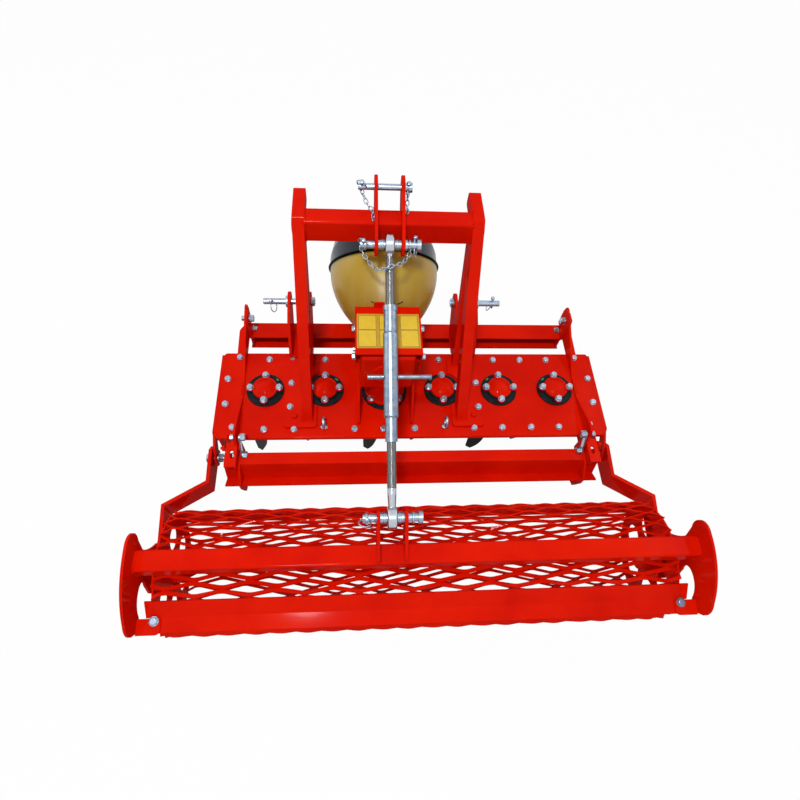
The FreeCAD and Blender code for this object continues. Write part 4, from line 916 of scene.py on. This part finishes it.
# Eye bolts on the cover's rear edge, their eyes in line with travel
eyeBolt = {
    "at": (-0.316, 0.105), "back": -0.144, "neck": 0.009, "ring": 0.0170, "tall": 1.12, "wire": 0.0050,
    "collar": 0.0125,
}
eyes = []
for x in eyeBolt["at"]:
    at = Vector((x, rotorY + eyeBolt["back"], coverTop))
    middle = at + Vector((0, 0, eyeBolt["neck"] + eyeBolt["ring"] + eyeBolt["wire"]))
    turns = (2 * pi * k / 32 for k in range(32))
    loop = [middle + Vector((0, cos(t), sin(t) * eyeBolt["tall"])) * eyeBolt["ring"] for t in turns]
    eyes.append(tubeMesh(loop, eyeBolt["wire"], 10, closed=True))
    c = eyeBolt["collar"]
    outline = ((c, 0.0), (c, 0.0035), (c * 0.86, 0.005), (0.0075, 0.006), (0.0065, 0.012))
    eyes.append(turnedMesh(outline, at, (0, 0, 1), 24))
eyeMesh = joined("eye_bolts", eyes)
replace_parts(addPiece("eye_bolts", eyeMesh, "harrow", "zinc"), "lifting_eyes")

# End caps of the cross tube
tubeCap = {"radius": 0.0365, "proud": 0.0028, "bevelAt": 0.4, "face": 0.8}
legOut = {-1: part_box("headstock_leg_left")[0][0], 1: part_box("headstock_leg_right")[1][0]}
r, proud = tubeCap["radius"], tubeCap["proud"]
outline = ((r, 0.0), (r, proud * tubeCap["bevelAt"]), (r * tubeCap["face"], proud), (0.002, proud))
_, y, z = boxMiddle("cross_tube")
caps = [turnedMesh(outline, (legOut[side], y, z), (side, 0, 0), 36) for side in leftRight]
capMesh = joined("tube_end_caps", caps, smooth=False)
addPiece("tube_end_caps", capMesh, "harrow", "black_rubber")

# Bead along the seam of guard and collar, which slopes down towards the tractor
seam = {
    "mid": 0.378, "slope": 0.475, "wire": 0.0046, "proud": 0.0030, "behind": 0.0045, "about": 0.186,
    "outline": ((0.272, 0.183), (0.400, 0.190), (0.456, 0.180), (0.470, 0.166)),
}
guardZ = boxMiddle("input_shaft")[2]


def collarRadius(y):
    points = seam["outline"]
    for (y0, r0), (y1, r1) in zip(points, points[1:]):
        if y <= y1:
            return r0 + (r1 - r0) * (y - y0) / (y1 - y0)
    return points[-1][1]


loop = []
for k in range(72):
    t = 2 * pi * k / 72
    r = seam["about"]
    for again in range(4):  # the collar's radius and the seam's place settle together
        y = seam["mid"] - seam["slope"] * r * sin(t)
        r = collarRadius(y)
    out = r + seam["proud"]
    loop.append(Vector((hitchX + out * cos(t), rotorY + y - seam["behind"], guardZ + out * sin(t))))
bead = tubeMesh(loop, seam["wire"], 8, closed=True)
addPiece("collar_bead", bead, "harrow", "black_rubber", finishes["tine_steel"])

clip = {"wire": 0.0016, "way": ((0.033, 0.137, 0.6535), (0.044, 0.142, 0.6545), (0.051, 0.146, 0.6550))}
clips = []
for side in leftRight:
    way = [Vector((hitchX + side * x, rotorY + y, z)) for x, y, z in clip["way"]]
    clips.append(tubeMesh(way, clip["wire"], 8))
addPiece("guard_clips", joined("guard_clips", clips), "harrow", "black_rubber")
print("rings, eye bolts, caps and bead made")

# Blank labels on the hood: a border, a dark line round each field and the plain fields
label = {
    "wide": 0.0652, "tall": 0.130, "thick": 0.0004, "corner": 0.002, "gap": 0.0655, "middle": 0.026,
    "border": 0.0050, "line": 0.0022, "fields": ((0.031, 0.054), (-0.029, 0.062)),
}
borders, lines, sheets = [], [], []


def flatPlate(x, y, z, wide, tall, thick):
    return plateMesh((x, y, z), (1, 0, 0), (0, 1, 0), wide, tall, thick, label["corner"])


for k in (-1, 0, 1):
    x, y, z = hitchX + k * label["gap"], rotorY + label["middle"], hood["top"]
    thin, line, wide = label["thick"], label["line"], label["wide"] - 2 * label["border"]
    borders.append(flatPlate(x, y, z, label["wide"], label["tall"], thin))
    for lift, tall in label["fields"]:
        lines.append(flatPlate(x, y + lift, z + thin, wide, tall, thin * 0.5))
        sheets.append(flatPlate(x, y + lift, z + thin * 1.5, wide - line, tall - line, thin * 0.5))
for name, plates, film in (("label_borders", borders, paleFilm), ("label_lines", lines, lineFilm),
                           ("blank_labels", sheets, labelFilm)):
    addPiece(name, joined(name, plates, smooth=False), "harrow", "yellow_plastic", film)

# a dab of green paint on each ring's foot, at the left and right rings' angles
dab = {
    "circle": 0.057, "left": 46, "right": 132, "long": 0.012, "wide": 0.0055, "thick": 0.0003,
    "corner": 0.0020,
}
marks = []
for x in capX:
    a = radians(dab["left"] if x < 0 else dab["right"])
    c, s = cos(a), sin(a)
    at = (x + dab["circle"] * c, rotorY + dab["circle"] * s, ringLow + ringCast["high"])
    size = (dab["long"], dab["wide"], dab["thick"], dab["corner"])
    marks.append(plateMesh(at, (-s, c, 0), (-c, -s, 0), *size))
addPiece("ring_marks", joined("ring_marks", marks, smooth=False), "harrow", "black_cast", markPaint)
print("labels and marks made")

# Floor, lamps and camera
studio = {"floorWhite": 0.97, "sky": 0.42, "floorSize": 60, "floorZ": -0.001}
bpy.ops.mesh.primitive_plane_add(size=studio["floorSize"], location=(0, 0, studio["floorZ"]))
floor = bpy.context.object
floor.name = "floor"
mat, tree, shader, place = startMaterial("pale floor")
fill(tree, shader, {
    "Base Color": ramp(tree, noise(tree, place, 3.0), ((0.3, 0.76), (0.7, 0.78))), "Roughness": 0.9,
    "Specular IOR Level": 0.0,
})


def whiteToEye(tree, plain, share, emitter):
    # the background reads white to the eye and in metal, and the object's light stays as it is
    ray = node(tree, "ShaderNodeLightPath").outputs
    seen = calc(tree, "MAXIMUM", ray["Is Camera Ray"], ray["Is Glossy Ray"])
    seen = calc(tree, "MAXIMUM", seen, ray["Is Transmission Ray"])
    white = node(tree, emitter, {"Color": (1, 1, 1, 1), "Strength": 1.0})
    parts = {0: calc(tree, "MULTIPLY", seen, share), 1: plain, 2: white.outputs[0]}
    return node(tree, "ShaderNodeMixShader", parts).outputs[0]


def outputOf(tree, kind):
    return next(n for n in tree.nodes if n.type == kind).inputs[0]


white = whiteToEye(tree, shader.outputs[0], studio["floorWhite"], "ShaderNodeEmission")
tree.links.new(white, outputOf(tree, "OUTPUT_MATERIAL"))
floor.data.materials.append(mat)

world = bpy.data.worlds.new("studio")
scene.world = world
world.use_nodes = True
tree = world.node_tree
sky = tree.nodes["Background"]
fill(tree, sky, {"Color": (1, 1, 1, 1), "Strength": studio["sky"]})
tree.links.new(whiteToEye(tree, sky.outputs[0], 1, "ShaderNodeBackground"), outputOf(tree, "OUTPUT_WORLD"))

lamps = {
    "key": {"at": (-0.7, -1.3, 4.5), "size": 0.6, "power": 108},
    "fill": {"at": (3.2, 1.2, 3.0), "size": 3.0, "power": 22},
    "side": {"at": (-3.4, 1.0, 2.2), "size": 2.6, "power": 20},
}
lampsAim = Vector((0, 0, 0.4))
for name, lamp in lamps.items():
    light = bpy.data.lights.new(name, "AREA")
    light.shape = "DISK"
    light.size = lamp["size"]
    light.energy = lamp["power"]
    holder = bpy.data.objects.new(name, light)
    holder.location = lamp["at"]
    holder.rotation_euler = (lampsAim - Vector(lamp["at"])).to_track_quat("-Z", "Y").to_euler()
    scene.collection.objects.link(holder)

# angles in radians: turned to the right of forward, tipped down, and rolled about the line of sight
view = {"at": (-0.2095, -0.8119, 2.0352), "turn": 0.16983, "down": 1.06124, "roll": 0.14438, "lens": 24.47}
camera = bpy.data.cameras.new("camera")
camera.lens = view["lens"]
camera.sensor_width = 36.0
eye = bpy.data.objects.new("camera", camera)
turn, down, roll = view["turn"], view["down"], view["roll"]
ahead = Vector((sin(turn) * cos(down), cos(turn) * cos(down), -sin(down)))
right = Vector((cos(turn), -sin(turn), 0))
top = right.cross(ahead)
across = right * cos(roll) + top * sin(roll)
high = top * cos(roll) - right * sin(roll)
eye.matrix_world = Matrix.Translation(view["at"]) @ Matrix((across, high, -ahead)).transposed().to_4x4()
scene.collection.objects.link(eye)
scene.camera = eye
scene.view_settings.view_transform = "Standard"
print("floor, lamps and camera set")
